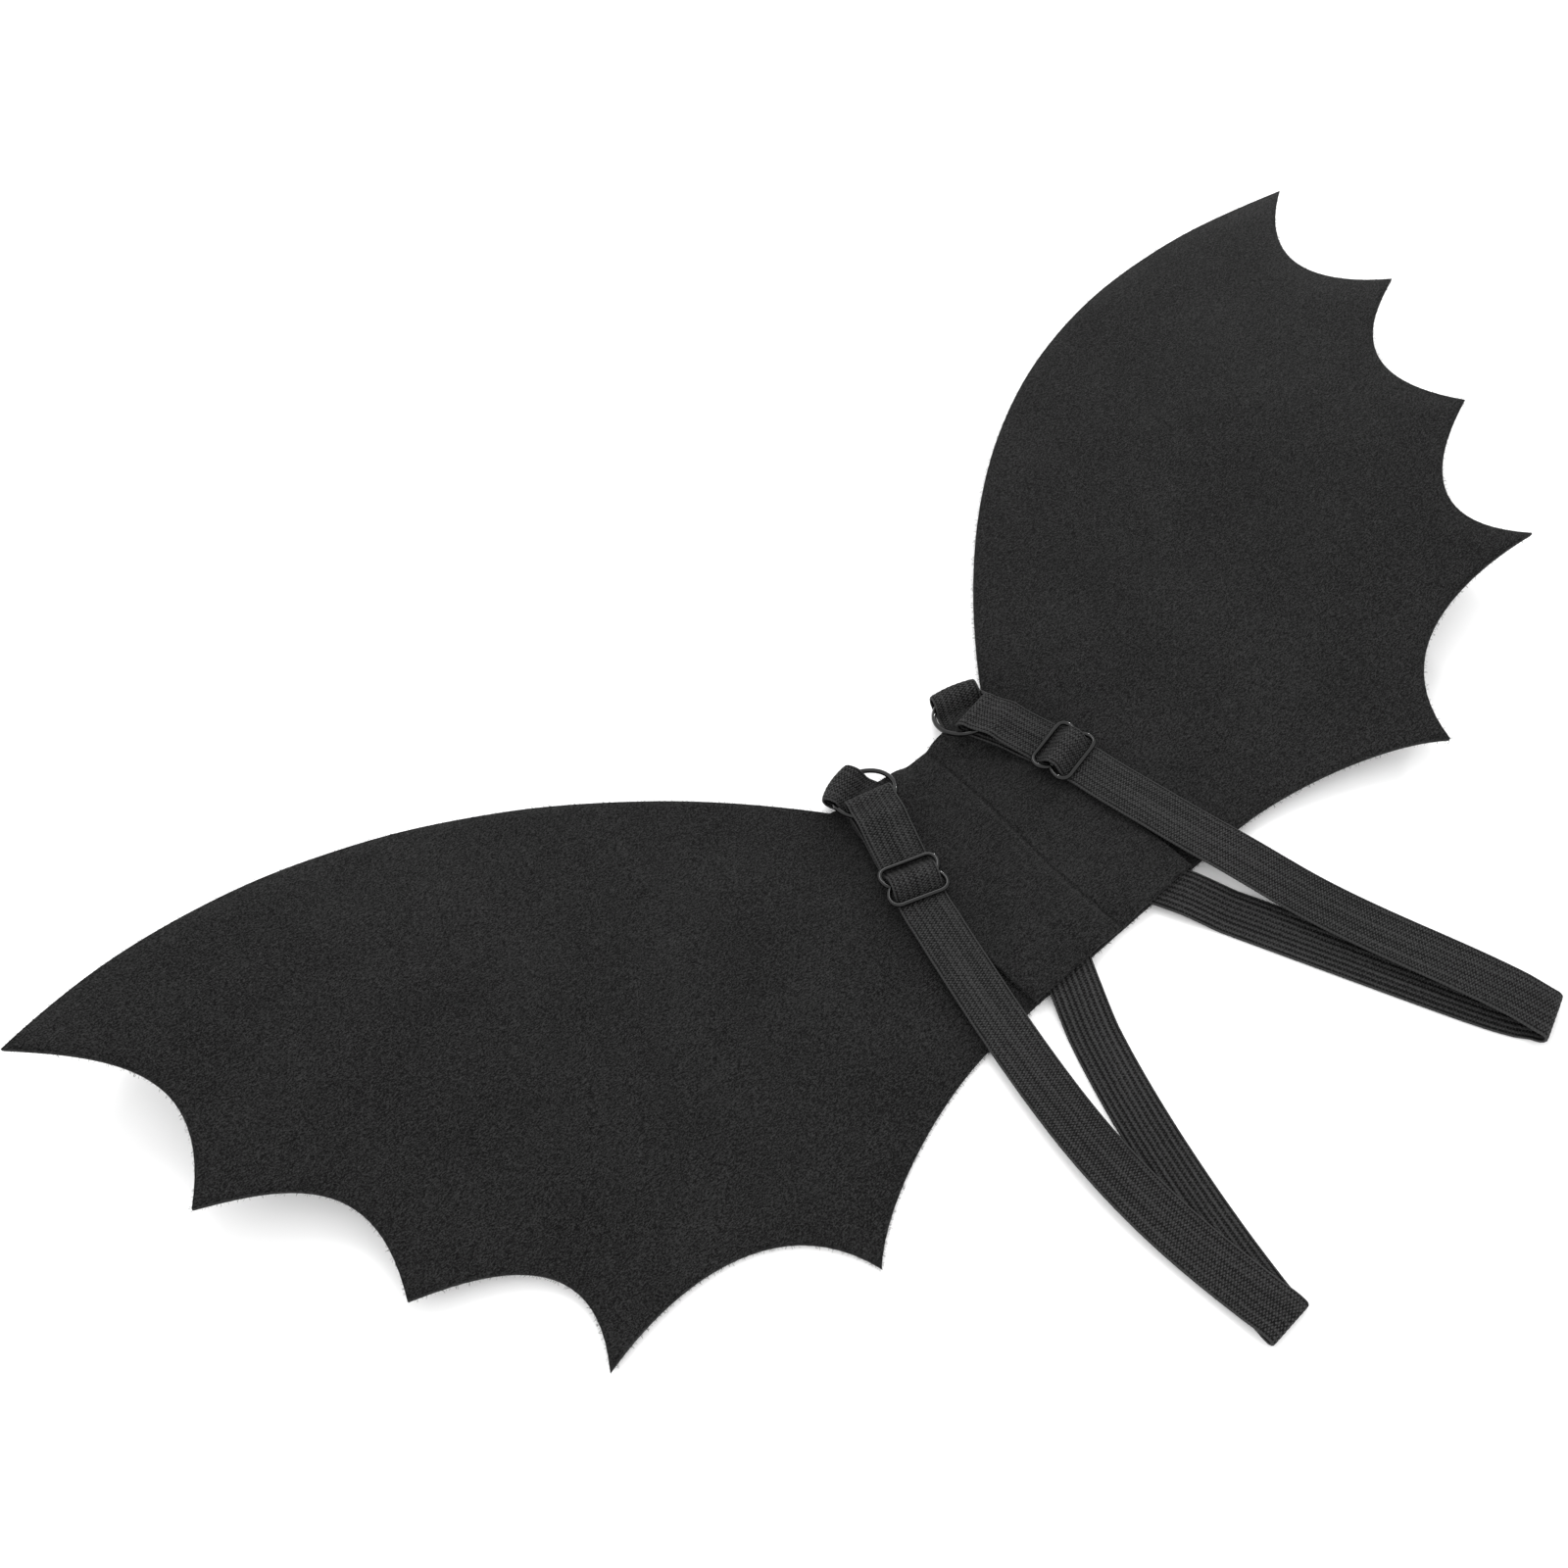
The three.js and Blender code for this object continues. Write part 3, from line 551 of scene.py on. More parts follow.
def smooth_path(points, step, closed=False):
    """A smooth line through points, with its place in the list of points for each new one."""
    points = np.asarray(points, float)
    if closed:
        points = np.vstack([points, points[:1]])
    gaps = np.linalg.norm(np.diff(points, axis=0), axis=1)
    ways = np.diff(points, axis=0) / gaps[:, None]
    if closed:
        before, after = np.roll(gaps, 1), gaps
        joined = (np.roll(ways, 1, 0) * after[:, None] + ways * before[:, None]) / (before + after)[:, None]
        tangents = np.vstack([joined, joined[:1]])
    else:
        before, after = gaps[:-1, None], gaps[1:, None]
        joined = (ways[:-1] * after + ways[1:] * before) / (before + after)
        tangents = np.vstack([ways[:1], joined, ways[-1:]])
    line, places = [], []
    for i, gap in enumerate(gaps):
        steps = max(1, int(math.ceil(gap / step)))
        t = (np.arange(steps) / steps)[:, None]
        line.append(
            (2 * t**3 - 3 * t**2 + 1) * points[i]
            + (t**3 - 2 * t**2 + t) * gap * tangents[i]
            + (3 * t**2 - 2 * t**3) * points[i + 1]
            + (t**3 - t**2) * gap * tangents[i + 1]
        )
        places.append(i + t[:, 0])
    if not closed:
        line.append(points[-1:])
        places.append(np.array([len(points) - 1.0]))
    return np.vstack(line), np.concatenate(places)


def wire_tube(path, upright, radius, closed):
    """Points and faces of a round wire along a path that lies in the plane of one normal."""
    sides = 16
    ways = np.roll(path, -1, 0) - np.roll(path, 1, 0) if closed else np.gradient(path, axis=0)
    beside = np.cross(upright, ways)
    beside /= np.linalg.norm(beside, axis=1)[:, None]
    angles = np.linspace(0, 2 * math.pi, sides, endpoint=False)
    points = (
        path[:, None, :]
        + radius * np.cos(angles)[None, :, None] * beside[:, None, :]
        + radius * np.sin(angles)[None, :, None] * np.asarray(upright)[None, None, :]
    ).reshape(-1, 3)
    rows = len(path)
    faces = ring_faces(rows, sides, True)
    if closed:
        for j in range(sides):
            k = (j + 1) % sides
            faces.append(((rows - 1) * sides + j, (rows - 1) * sides + k, k, j))
    else:
        faces.append(tuple(range(sides)))
        faces.append(tuple((rows - 1) * sides + j for j in range(sides)))
    return points, faces


# Black coated steel wire is smooth and satin: dark, with narrow bright lines where it turns to the light
def coated_wire():
    material = new_material("black_coated_steel_wire")
    tree = material.node_tree
    place = add_node(tree, "ShaderNodeTexCoord").outputs["Object"]
    spots = add_node(tree, "ShaderNodeTexNoise", inputs={"Vector": place, "Scale": 900.0, "Detail": 2.0})
    relief = add_node(
        tree, "ShaderNodeBump", inputs={"Strength": 0.08, "Distance": 0.0002, "Height": spots}
    )
    shader = add_node(
        tree,
        "ShaderNodeBsdfPrincipled",
        inputs={
            "Base Color": linear("#090909"),
            "Metallic": 0.0,
            "Roughness": 0.22,
            "Specular IOR Level": 0.1,
            "Coat Weight": 0.5,
            "Coat Roughness": 0.03,
            "Normal": relief,
        },
    )
    return finish_material(material, shader)


wire = coated_wire()


def ring_piece(side):
    normal = ring_normal(side)
    first = in_ring_plane(side, np.array([1.0, 0.0]))
    second = np.cross(normal, first)
    angles = np.linspace(0, 2 * math.pi, 72, endpoint=False)[:, None]
    middle = np.array([*ring_middle(side), ring_height(side)])
    path = middle + RING_RADIUS * (np.cos(angles) * first + np.sin(angles) * second)
    return mesh_piece(f"ring_{side}_wire", *wire_tube(path, normal, WIRE_RADIUS, True))


def slider_piece(side):
    x, y, corner = SLIDER_WIDTH / 2, SLIDER_HEIGHT / 2, SLIDER_CORNER
    straight_end = x - 1.5 * corner
    turns = np.radians([0, 30, 60, 90])
    low_corner = np.c_[x - corner + corner * np.sin(turns), -y + corner - corner * np.cos(turns)]
    notch = np.array([(x - SLIDER_PINCH / 2, -SLIDER_NOTCH), (x - SLIDER_PINCH, 0)])
    low = np.vstack([[(0, -y), (straight_end, -y)], low_corner, notch])
    high = low[1:-1][::-1] * (1, -1)
    half = np.vstack([low, high])
    plan = np.vstack([half, -half])
    path, _ = smooth_path(np.c_[plan, np.zeros(len(plan))], 0.0006, closed=True)
    points, faces = wire_tube(path, (0, 0, 1), WIRE_RADIUS, True)
    reach = x - SLIDER_PINCH
    bar = np.c_[np.linspace(-reach, reach, 9), np.zeros(9), np.zeros(9)]
    bar_points, bar_faces = wire_tube(bar, (0, 0, 1), SLIDER_BAR_RADIUS, False)
    faces += [tuple(i + len(points) for i in face) for face in bar_faces]
    points = np.vstack([points, bar_points])
    turn = math.radians(-SIDES[side]["slider_turn"])
    turned = np.array([[math.cos(turn), -math.sin(turn)], [math.sin(turn), math.cos(turn)]])
    placed = np.c_[points[:, :2] @ turned.T + slider_middle(side), points[:, 2] + SLIDER_Z]
    return mesh_piece(f"slider_{side}_wire", placed, faces)


for side in ("left", "right"):
    for made, node in ((ring_piece(side), f"ring_{side}"), (slider_piece(side), f"slider_{side}")):
        made.data.materials.append(wire)
        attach(made, "root")
        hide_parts(node)


# The ring tabs
# A short piece of the strap's elastic holds each ring. It is folded round the far side of the ring,
# and both its ends are sewn in between the panel and the patch.

TAB_INSERT = 0.010
# How far the fold's line follows the round of the ring, seen from above
TAB_BOW = 0.4
# The upper layer's height, in shares of its rise to the ring, at shares of the way from patch to ring
TAB_FALL = [(0.7, 0.97), (0.35, 0.55)]
PATCH_CORNER = 0.018
ELASTIC_EDGE = 0.0008
RIB_PITCH = 0.0023
REVERSE_GROOVE = 0.00045
FACE_GROOVE = 0.00012


def across_of(heading):
    side = np.array([-heading[1], heading[0], 0.0])
    return side / np.linalg.norm(side)


def elastic_band(name, route):
    """Elastic along a route of (place, level across, width, bow), with ribs on both sides. The ribs of the
    reverse side are deeper. It never reaches below the floor."""
    places, found = smooth_path([stop[0] for stop in route], 0.0011)
    places[:, 2] = np.maximum(places[:, 2], ELASTIC_THICKNESS / 2)
    stops = np.arange(len(route))
    across = np.stack([np.interp(found, stops, [stop[1][k] for stop in route]) for k in range(3)], 1)
    across /= np.linalg.norm(across, axis=1)[:, None]
    widths = np.interp(found, stops, [stop[2] for stop in route])
    bows = np.stack([np.interp(found, stops, [stop[3][k] for stop in route]) for k in range(3)], 1)
    normals = np.cross(np.gradient(places, axis=0), across)
    normals /= np.linalg.norm(normals, axis=1)[:, None]
    lengths = np.r_[0, np.cumsum(np.linalg.norm(np.diff(places, axis=0), axis=1))]
    edge = np.array([0, 0.15, 0.45]) * ELASTIC_EDGE
    ribs = np.arange(ELASTIC_EDGE, ELASTIC_WIDTH - ELASTIC_EDGE + 1e-6, RIB_PITCH / 4)
    over = np.r_[edge, ribs, ELASTIC_WIDTH - edge[::-1]]
    share = over / ELASTIC_WIDTH * 2 - 1
    beat = np.round((over - ELASTIC_EDGE) / (RIB_PITCH / 4)).astype(int) % 4
    groove = np.where(beat == 0, 1.0, np.where(beat == 2, 0.0, 0.25))
    to_edge = np.minimum(over, ELASTIC_WIDTH - over)
    round_off = np.sqrt(np.clip(1 - (1 - np.clip(to_edge / ELASTIC_EDGE, 0, 1)) ** 2, 0.09, 1))
    inside = to_edge > ELASTIC_EDGE / 2
    heights = [
        ELASTIC_THICKNESS / 2 * round_off - groove * REVERSE_GROOVE * inside,
        -ELASTIC_THICKNESS / 2 * round_off + groove * FACE_GROOVE * inside,
    ]
    points, uvs = [], []
    for height in heights:
        beside = share[None, :] * widths[:, None] / 2
        grid = places[:, None, :] + across[:, None, :] * beside[:, :, None]
        grid = grid + normals[:, None, :] * height[None, :, None]
        grid = grid + bows[:, None, :] * (share**2)[None, :, None]
        points.append(grid.reshape(-1, 3))
        uvs.append(np.stack(np.broadcast_arrays(over[None, :], lengths[:, None]), 2).reshape(-1, 2))
    rows, columns = len(places), len(over)
    grid_faces = ring_faces(rows, columns, False)
    layer = rows * columns
    faces = grid_faces + [tuple(i + layer for i in face) for face in grid_faces]
    slots = [1] * len(grid_faces) + [0] * len(grid_faces)
    for i in range(rows - 1):
        for j in (0, columns - 1):
            a, b = i * columns + j, (i + 1) * columns + j
            faces.append((a, b, b + layer, a + layer))
            slots.append(0)
    for i in (0, rows - 1):
        for j in range(columns - 1):
            a = i * columns + j
            faces.append((a, a + 1, a + 1 + layer, a + layer))
            slots.append(0)
    return mesh_piece(name, np.vstack(points), faces, np.vstack(uvs), slots)


# Woven elastic: rubber threads in polyester yarn. The yarn makes lengthwise ribs 2.3 mm apart with small
# stitches over them. A row of tight loops runs along each edge, with holes inside it. Some lengthwise
# threads are slack, so broad bands of a side are a little darker or lighter. The colour follows the height
# of the weave: the grooves and the holes are painted dark as shade, and the raised ribs and stitches light.
STITCH_ACROSS = 0.00105
STITCH_ALONG = 0.0012
STITCH_DRIFT = 0.0009
STITCH_SHARPNESS = 1.6
STITCH_SHIFT = 0.4
SLACK_SCALE = (330.0, 14.0, 1.0)
UNEVENNESS_SHARE = 1.5
SLACK_SHARE = 0.9
EDGE_LOOP = 0.0013
EDGE_TONE = 0.55
EDGE_SWING = 0.3
# Painted shade in the holes inside the edge loops
HOLE_PAINTED_SHADE = -0.8


def wave(tree, value, length, shift=0.0):
    """A wave from 0 to 1 over a length that the value counts."""
    turns = {0: value, 1: 2 * math.pi / length, 2: shift}
    counted = add_node(tree, "ShaderNodeMath", {"operation": "MULTIPLY_ADD"}, turns)
    swing = add_node(tree, "ShaderNodeMath", {"operation": "COSINE"}, {0: counted})
    return add_node(tree, "ShaderNodeMath", {"operation": "MULTIPLY_ADD"}, {0: swing, 1: 0.5, 2: 0.5})


def woven_elastic(name, dark, light, rib_share, depth):
    """One side of the elastic. Its ribs make rib_share of its tone, and its stitches the rest."""
    material = new_material(name)
    tree = material.node_tree
    weave = add_node(tree, "ShaderNodeUVMap", {"uv_map": "weave"})
    across, along, _ = add_node(tree, "ShaderNodeSeparateXYZ", inputs={0: weave}).outputs
    unevenness = add_node(
        tree, "ShaderNodeTexNoise", inputs={"Vector": weave, "Scale": 900.0, "Detail": 2.0}
    )
    slack_place = add_node(tree, "ShaderNodeMapping", inputs={"Vector": weave, "Scale": SLACK_SCALE})
    slack = add_node(
        tree, "ShaderNodeTexNoise", inputs={"Vector": slack_place, "Scale": 1.0, "Detail": 1.0}
    )
    drift = {0: unevenness, 1: STITCH_DRIFT, 2: along}
    drifted = add_node(tree, "ShaderNodeMath", {"operation": "MULTIPLY_ADD"}, drift)
    rows = []
    for shift in (0.0, math.pi):
        row = {0: wave(tree, drifted, STITCH_ALONG, shift), 1: STITCH_SHARPNESS}
        rows.append(add_node(tree, "ShaderNodeMath", {"operation": "POWER"}, row))
    bed = wave(tree, across, STITCH_ACROSS * 2, STITCH_SHIFT)
    stitch = add_node(tree, "ShaderNodeMix", inputs={"Factor": bed, "A": rows[1], "B": rows[0]})
    # The rib tone is darkest right over the mesh's grooves: painted shade in them, painted light on the rib
    # tops
    rib = wave(tree, across, RIB_PITCH, math.pi - 2 * math.pi * ELASTIC_EDGE / RIB_PITCH)
    other_edge = add_node(
        tree, "ShaderNodeMath", {"operation": "SUBTRACT"}, {0: ELASTIC_WIDTH, 1: across}
    )
    to_edge = add_node(tree, "ShaderNodeMath", {"operation": "MINIMUM"}, {0: across, 1: other_edge})
    # Each pattern is eased from one tone to another between two of its values
    eased = []
    for pattern, low, high, first, last in (
        (stitch, 0.3, 0.75, -0.1, 1.4),
        (rib, 0.1, 0.8, 0.0, 1.0),
        (to_edge, 0.0006, 0.0009, 0.0, 1.0),
        (to_edge, 0.0016, 0.0010, 0.0, 1.0),
    ):
        between = {"Value": pattern, "From Min": low, "From Max": high, "To Min": first, "To Max": last}
        eased.append(add_node(tree, "ShaderNodeMapRange", {"interpolation_type": "SMOOTHSTEP"}, between))
    stitch, rib, inside, near_edge = eased
    edge_loops = wave(tree, along, EDGE_LOOP)
    holes = add_node(tree, "ShaderNodeMath", {"operation": "MULTIPLY"}, {0: near_edge, 1: edge_loops})
    body = add_node(tree, "ShaderNodeMix", inputs={"Factor": rib_share, "A": stitch, "B": rib})
    for pattern, middle, share in (
        (unevenness, 0.5, UNEVENNESS_SHARE), (slack, 0.5, SLACK_SHARE), (holes, 0.0, HOLE_PAINTED_SHADE)
    ):
        off_middle = add_node(tree, "ShaderNodeMath", {"operation": "SUBTRACT"}, {0: pattern, 1: middle})
        body = add_node(
            tree, "ShaderNodeMath", {"operation": "MULTIPLY_ADD"}, {0: off_middle, 1: share, 2: body}
        )
    edge = add_node(
        tree, "ShaderNodeMath", {"operation": "MULTIPLY_ADD"}, {0: edge_loops, 1: EDGE_SWING, 2: EDGE_TONE}
    )
    # One height drives both the bump and the colour: lower parts are painted darker as shade, raised ones
    # lighter as painted light, and the unevenness and slack bands are the yarn's own tone
    height = add_node(tree, "ShaderNodeMix", inputs={"Factor": inside, "A": edge, "B": body})
    height = add_node(tree, "ShaderNodeClamp", inputs={"Value": height, "Min": 0.0, "Max": 1.3})
    colour = add_node(
        tree,
        "ShaderNodeMix",
        {"data_type": "RGBA"},
        {"Factor": height, "A": linear(dark), "B": linear(light)},
    )
    relief = add_node(
        tree, "ShaderNodeBump", inputs={"Strength": 0.8, "Distance": depth, "Height": height}
    )
    shader = add_node(
        tree,
        "ShaderNodeBsdfPrincipled",
        inputs={
            "Base Color": colour.outputs["Result"],
            "Roughness": 0.75,
            "Specular IOR Level": 0.15,
            "Normal": relief,
        },
    )
    return finish_material(material, shader)


elastic_face = woven_elastic("woven_elastic_face", "#000000", "#393939", 0.35, 0.0005)
elastic_reverse = woven_elastic("woven_elastic_reverse", "#000000", "#3a3a3a", 0.6, 0.0007)


def patch_edge_at(x):
    """The patch's upper edge, whose two corners are rounded off."""
    past = np.maximum(np.abs(x) - (ROOT_X - PATCH_CORNER), 0)
    return neck_at(x) - PATCH_CORNER + np.sqrt(np.maximum(PATCH_CORNER**2 - past**2, 0))


def edge_along_tab(side):
    """How far from the ring's middle the whole width of the tab has left the patch."""
    out = turn_direction(SIDES[side]["tab_turn"])
    found = []
    for share in (-1, -0.5, 0, 0.5, 1):
        start = ring_middle(side) + np.array([-out[1], out[0]]) * share * ELASTIC_WIDTH / 2
        along = 0.0
        for _ in range(20):
            along = (patch_edge_at(start[0] + along * out[0]) - start[1]) / out[1]
        found.append(along)
    return max(found) + 2 * SEW_GAP


def tab_route(side):
    out = turn_direction(SIDES[side]["tab_turn"])
    edge = edge_along_tab(side)
    ring = ring_middle(side)
    out_ring = in_ring_plane(side, out)
    far_z = FIRST_LAYER + WIRE_FOLD
    far_out = RING_RADIUS * math.hypot(out_ring[0], out_ring[1])
    second = FIRST_LAYER + LAYER_STEP

    def between(share):
        return edge + (far_out - edge) * share

    def stop(along, height):
        plan = ring + out * along
        free = smooth_step(along, edge, between(TAB_FALL[0][0]))
        across = across_of(out) * (1 - free) + across_in_ring(side, out) * free
        bow = out_ring * (TAB_BOW, TAB_BOW, 1) * (RING_CHORD - RING_RADIUS) * free
        return (np.array([*plan, height]), across / np.linalg.norm(across), ELASTIC_WIDTH, bow)

    route = [stop(edge - TAB_INSERT, FIRST_LAYER), stop(edge, FIRST_LAYER)]
    route += [stop(between(share), FIRST_LAYER) for share, _ in TAB_FALL[::-1]]
    for angle in np.linspace(0, math.pi, 7):
        route.append(stop(far_out + WIRE_FOLD * math.sin(angle), far_z - WIRE_FOLD * math.cos(angle)))
    rise = far_z + WIRE_FOLD - second
    route += [stop(between(share), second + rise * height) for share, height in TAB_FALL]
    route += [stop(edge, second), stop(edge - TAB_INSERT, second)]
    return route


for side in ("left", "right"):
    tab = elastic_band(f"ring_tab_{side}_elastic", tab_route(side))
    tab.data.materials.append(elastic_face)
    tab.data.materials.append(elastic_reverse)
    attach(tab, "root")
    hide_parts(f"ring_tab_{side}")


# The shoulder straps
# Each is one length of 20 mm elastic. It is sewn under the patch at the lower edge, makes the arm loop,
# goes up over the slider's middle bar, folds over the ring and comes back to the slider below itself.

STRAP_REACH = 0.140
STRAP_INSERT = 0.015
LOOP_FOLD_RADIUS = 0.0032
RING_FOLD_BACK = 0.0026
BAR_ROOM = SLIDER_WIDTH - 2 * (SLIDER_PINCH + WIRE_RADIUS + SEW_GAP)
# Height of a front leg over its way to the loop, and near the loop in shares of the fold's height
FRONT_HEIGHTS = [
    (0, SLIDER_Z - WIRE_PASS), (0.12, 1.12 * STRAP_OVER_PATCH), (0.3, STRAP_OVER_PATCH),
    (0.6, 0.95 * STRAP_OVER_PATCH),
]
FOLD_HEIGHTS = [(0.85, 0.95), (1, 1)]
REAR_DROP = (0.05, 0.18)
FOLD_TURN_FROM = 0.86
LEG_STEPS = 18
# Where the elastic's end starts and stops round the slider's middle bar, in degrees
BAR_TURN = (-70, -310)
# Over the slider: share of half its height, depth below the outer bars, height above the middle bar
SLIDER_WEAVE = [(0.835, 1, 0), (0.62, 0.3, 0), (0.36, 0, 0.62), (0.2, 0, 0.97)]
FRONT_RISE = [(0.62, 0.3), (0.47, 0.66)]
BACK_FALL = [(0.45, 0.2), (0.66, 0.85)]


def loop_end(side):
    x, y = SIDES[side]["loop"]
    return np.array([x * STRAP_REACH, HEM_Y - y * STRAP_REACH])


def rear_leg(side):
    hem = [SIDES[side]["hem_x"] * PATCH_WIDTH, HEM_Y]
    return even_curve(hem, loop_end(side), SIDES[side]["rear"], LEG_STEPS)


def even_curve(start, end, handles, steps):
    """Evenly spaced points of a curve and its direction at each."""
    fine = chord_curve(start, end, handles, 240)
    lengths = np.r_[0, np.cumsum(np.linalg.norm(np.diff(fine, axis=0), axis=1))]
    at = np.linspace(0, lengths[-1], steps + 1)
    ways = np.gradient(fine, axis=0)
    ways /= np.linalg.norm(ways, axis=1)[:, None]
    points = np.stack([np.interp(at, lengths, fine[:, k]) for k in range(2)], 1)
    return points, np.stack([np.interp(at, lengths, ways[:, k]) for k in range(2)], 1)


def height_along(table, share):
    i = 1
    while i < len(table) - 1 and table[i][0] < share:
        i += 1
    done = smooth_step(share, table[i - 1][0], table[i][0])
    return table[i - 1][1] * (1 - done) + table[i][1] * done


def strap_chord(side):
    """How far from a ring's middle its strap's edge first meets the wire. The strap may come in askew."""
    skew = math.radians(SIDES[side]["strap_turn"] - SIDES[side]["slider_turn"])
    half = ELASTIC_WIDTH / 2
    return math.sqrt(RING_RADIUS**2 - (half * math.cos(skew)) ** 2) - half * abs(math.sin(skew))


def across_leg(way, share, fold_line):
    """The direction across a leg, which turns to the loop's fold line at the end of the leg's way."""
    turned = smooth_step(share, FOLD_TURN_FROM, 1)
    both = across_of(way) * (1 - turned) + fold_line * turned
    return both / np.linalg.norm(both)


def strap_route(side):
    up = turn_direction(SIDES[side]["slider_turn"])
    down = -up
    from_ring = -turn_direction(SIDES[side]["strap_turn"])
    ring, slider, loop = ring_middle(side), slider_middle(side), loop_end(side)
    floor_z = ELASTIC_THICKNESS / 2
    no_bow = np.zeros(3)
    route = []

    def add(plan, height, across, width=ELASTIC_WIDTH):
        route.append((np.array([plan[0], plan[1], height]), across, width, no_bow))

    rear, rear_ways = rear_leg(side)
    front_start = slider + down * (SLIDER_HEIGHT / 2 + WIRE_PASS)
    front, front_ways = even_curve(front_start, loop, SIDES[side]["front"], LEG_STEPS)
    fold_line = across_of(rear_ways[-1]) + across_of(front_ways[-1])
    fold_line /= np.linalg.norm(fold_line)
    add(rear[0] - rear_ways[0] * STRAP_INSERT, FIRST_LAYER, across_of(rear_ways[0]))
    for i in range(LEG_STEPS + 1):
        share = i / LEG_STEPS
        height = FIRST_LAYER + (floor_z - FIRST_LAYER) * smooth_step(share, *REAR_DROP)
        add(rear[i], height, across_leg(rear_ways[i], share, fold_line))

    out_of_loop = np.array([fold_line[1], -fold_line[0]])
    fold_radius = LOOP_FOLD_RADIUS * SIDES[side]["loop_open"]
    for i in range(1, 6):
        angle = math.pi * i / 6
        plan = loop + out_of_loop * fold_radius * math.sin(angle)
        add(plan, floor_z + fold_radius * (1 - math.cos(angle)), fold_line)

    fold_top = floor_z + 2 * fold_radius
    heights = FRONT_HEIGHTS + [(along, height * fold_top) for along, height in FOLD_HEIGHTS]
    for i in range(LEG_STEPS, -1, -1):
        share = i / LEG_STEPS
        plan = front[i]
        on_wing = smooth_step(plan[1], HEM_Y - STRAP_REACH / 3, HEM_Y) * smooth_step(share, 0, 0.15)
        lift = wing_lift(side, abs(plan[0]) + ELASTIC_WIDTH / 2, max(plan[1], HEM_Y)) * on_wing
        add(plan, height_along(heights, share) + lift, across_leg(front_ways[i], share, fold_line))

    across = across_of(down)
    half, hump = SLIDER_HEIGHT / 2, WIRE_PASS + LAYER_STEP
    for along, under, over in SLIDER_WEAVE:
        add(slider - up * half * along, SLIDER_Z + over * hump - under * WIRE_PASS, across)
    add(slider, SLIDER_Z + hump, across)
    for along, under, over in SLIDER_WEAVE[::-1]:
        add(slider + up * half * along, SLIDER_Z + over * hump - under * WIRE_PASS, across)
    add(slider + up * (half + WIRE_PASS), SLIDER_Z - WIRE_PASS, across)

    over_ring = in_ring_plane(side, from_ring)
    level = WIRE_PASS / ring_normal(side)[2]
    over_wire = ring_height(side) + RING_RADIUS * over_ring[2] + level
    under_wire = ring_height(side) + strap_chord(side) * over_ring[2] - level
    near_wire = RING_RADIUS * math.hypot(over_ring[0], over_ring[1])
    past_wire = near_wire + 3 * WIRE_RADIUS
    to_bar = SLIDER_DROP - half - WIRE_PASS
    off_line = slider + up * (half + WIRE_PASS) - (ring + from_ring * to_bar)

    def at_ring(along, height):
        turned = smooth_step(along, near_wire, SLIDER_DROP)
        both = across * turned + across_in_ring(side, down) * (1 - turned)
        bent = max(along - near_wire, 0) / (to_bar - near_wire)
        add(ring + from_ring * along + off_line * bent, height, both / np.linalg.norm(both))

    for along, done in FRONT_RISE:
        start = SLIDER_Z - WIRE_PASS
        at_ring(SLIDER_DROP * along, start + (over_wire - start) * done)
    at_ring(past_wire, over_wire)
    at_ring(near_wire, over_wire)
    at_ring(RING_CHORD, over_wire - WIRE_RADIUS / 2)
    for angle in np.linspace(0, math.pi, 7):
        fold = RING_FOLD_BACK + WIRE_FOLD * (1 - math.sin(angle))
        at_ring(fold, under_wire + WIRE_FOLD * (1 + math.cos(angle)))
    at_ring(near_wire, under_wire)
    for along, done in BACK_FALL:
        at_ring(SLIDER_DROP * along, under_wire + (SLIDER_Z - hump - under_wire) * done)
    add(slider + up * half, SLIDER_Z - hump, across)
    for degrees in np.linspace(*BAR_TURN, 9):
        angle = math.radians(degrees)
        around = slider + up * WIRE_PASS * math.cos(angle)
        add(around, SLIDER_Z + WIRE_PASS * math.sin(angle), across, BAR_ROOM)
    return route


for side in ("left", "right"):
    strap = elastic_band(f"strap_{side}_elastic", strap_route(side))
    strap.data.materials.append(elastic_face)
    strap.data.materials.append(elastic_reverse)
    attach(strap, "root")
    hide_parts(f"strap_{side}")


# The back patch
# A square of thinner felt covers the middle of the panel and the sewn ends of straps and tabs, which
# push it up a little. It was folded once, which left a faint line down it.

CREASE_DEPTH = 0.0007
CREASE_WIDTH = 0.0024
CREASE_X = 0.0048
CREASE_SWING = 0.0011
CREASE_WAVE = 0.019
# Painted shade on the fold's line and painted light beside it: where each starts to fade and is gone, and
# how much it adds
CREASE_PAINTED_SHADE_AND_LIGHT = ((0.0, 0.0016, -0.085), (0.0012, 0.0034, 0.035))
PUSH_HOLD = 0.22 * ELASTIC_WIDTH
PUSH_FADE = 0.42 * ELASTIC_WIDTH


def sewn_ends():
    """Where elastic lies under the patch: entry, way inwards, length and height."""
    ends = []
    for side in ("left", "right"):
        points, ways = rear_leg(side)
        ends.append((points[0], -ways[0], STRAP_INSERT, LAYER_STEP))
        out = turn_direction(SIDES[side]["tab_turn"])
        ends.append((ring_middle(side) + out * edge_along_tab(side), -out, TAB_INSERT, 2 * LAYER_STEP))
    return ends


def patch_rise(ends, plan):
    rise = np.zeros(len(plan))
    for entry, inward, length, height in ends:
        away = plan - entry
        beside = np.abs(away[:, 0] * inward[1] - away[:, 1] * inward[0]) - ELASTIC_WIDTH / 2
        beyond = away @ inward - length
        off = np.hypot(np.maximum(beside, 0), np.maximum(beyond, 0))
        rise = np.maximum(rise, height * (1 - smooth_step(off, PUSH_HOLD, PUSH_HOLD + PUSH_FADE)))
    return rise


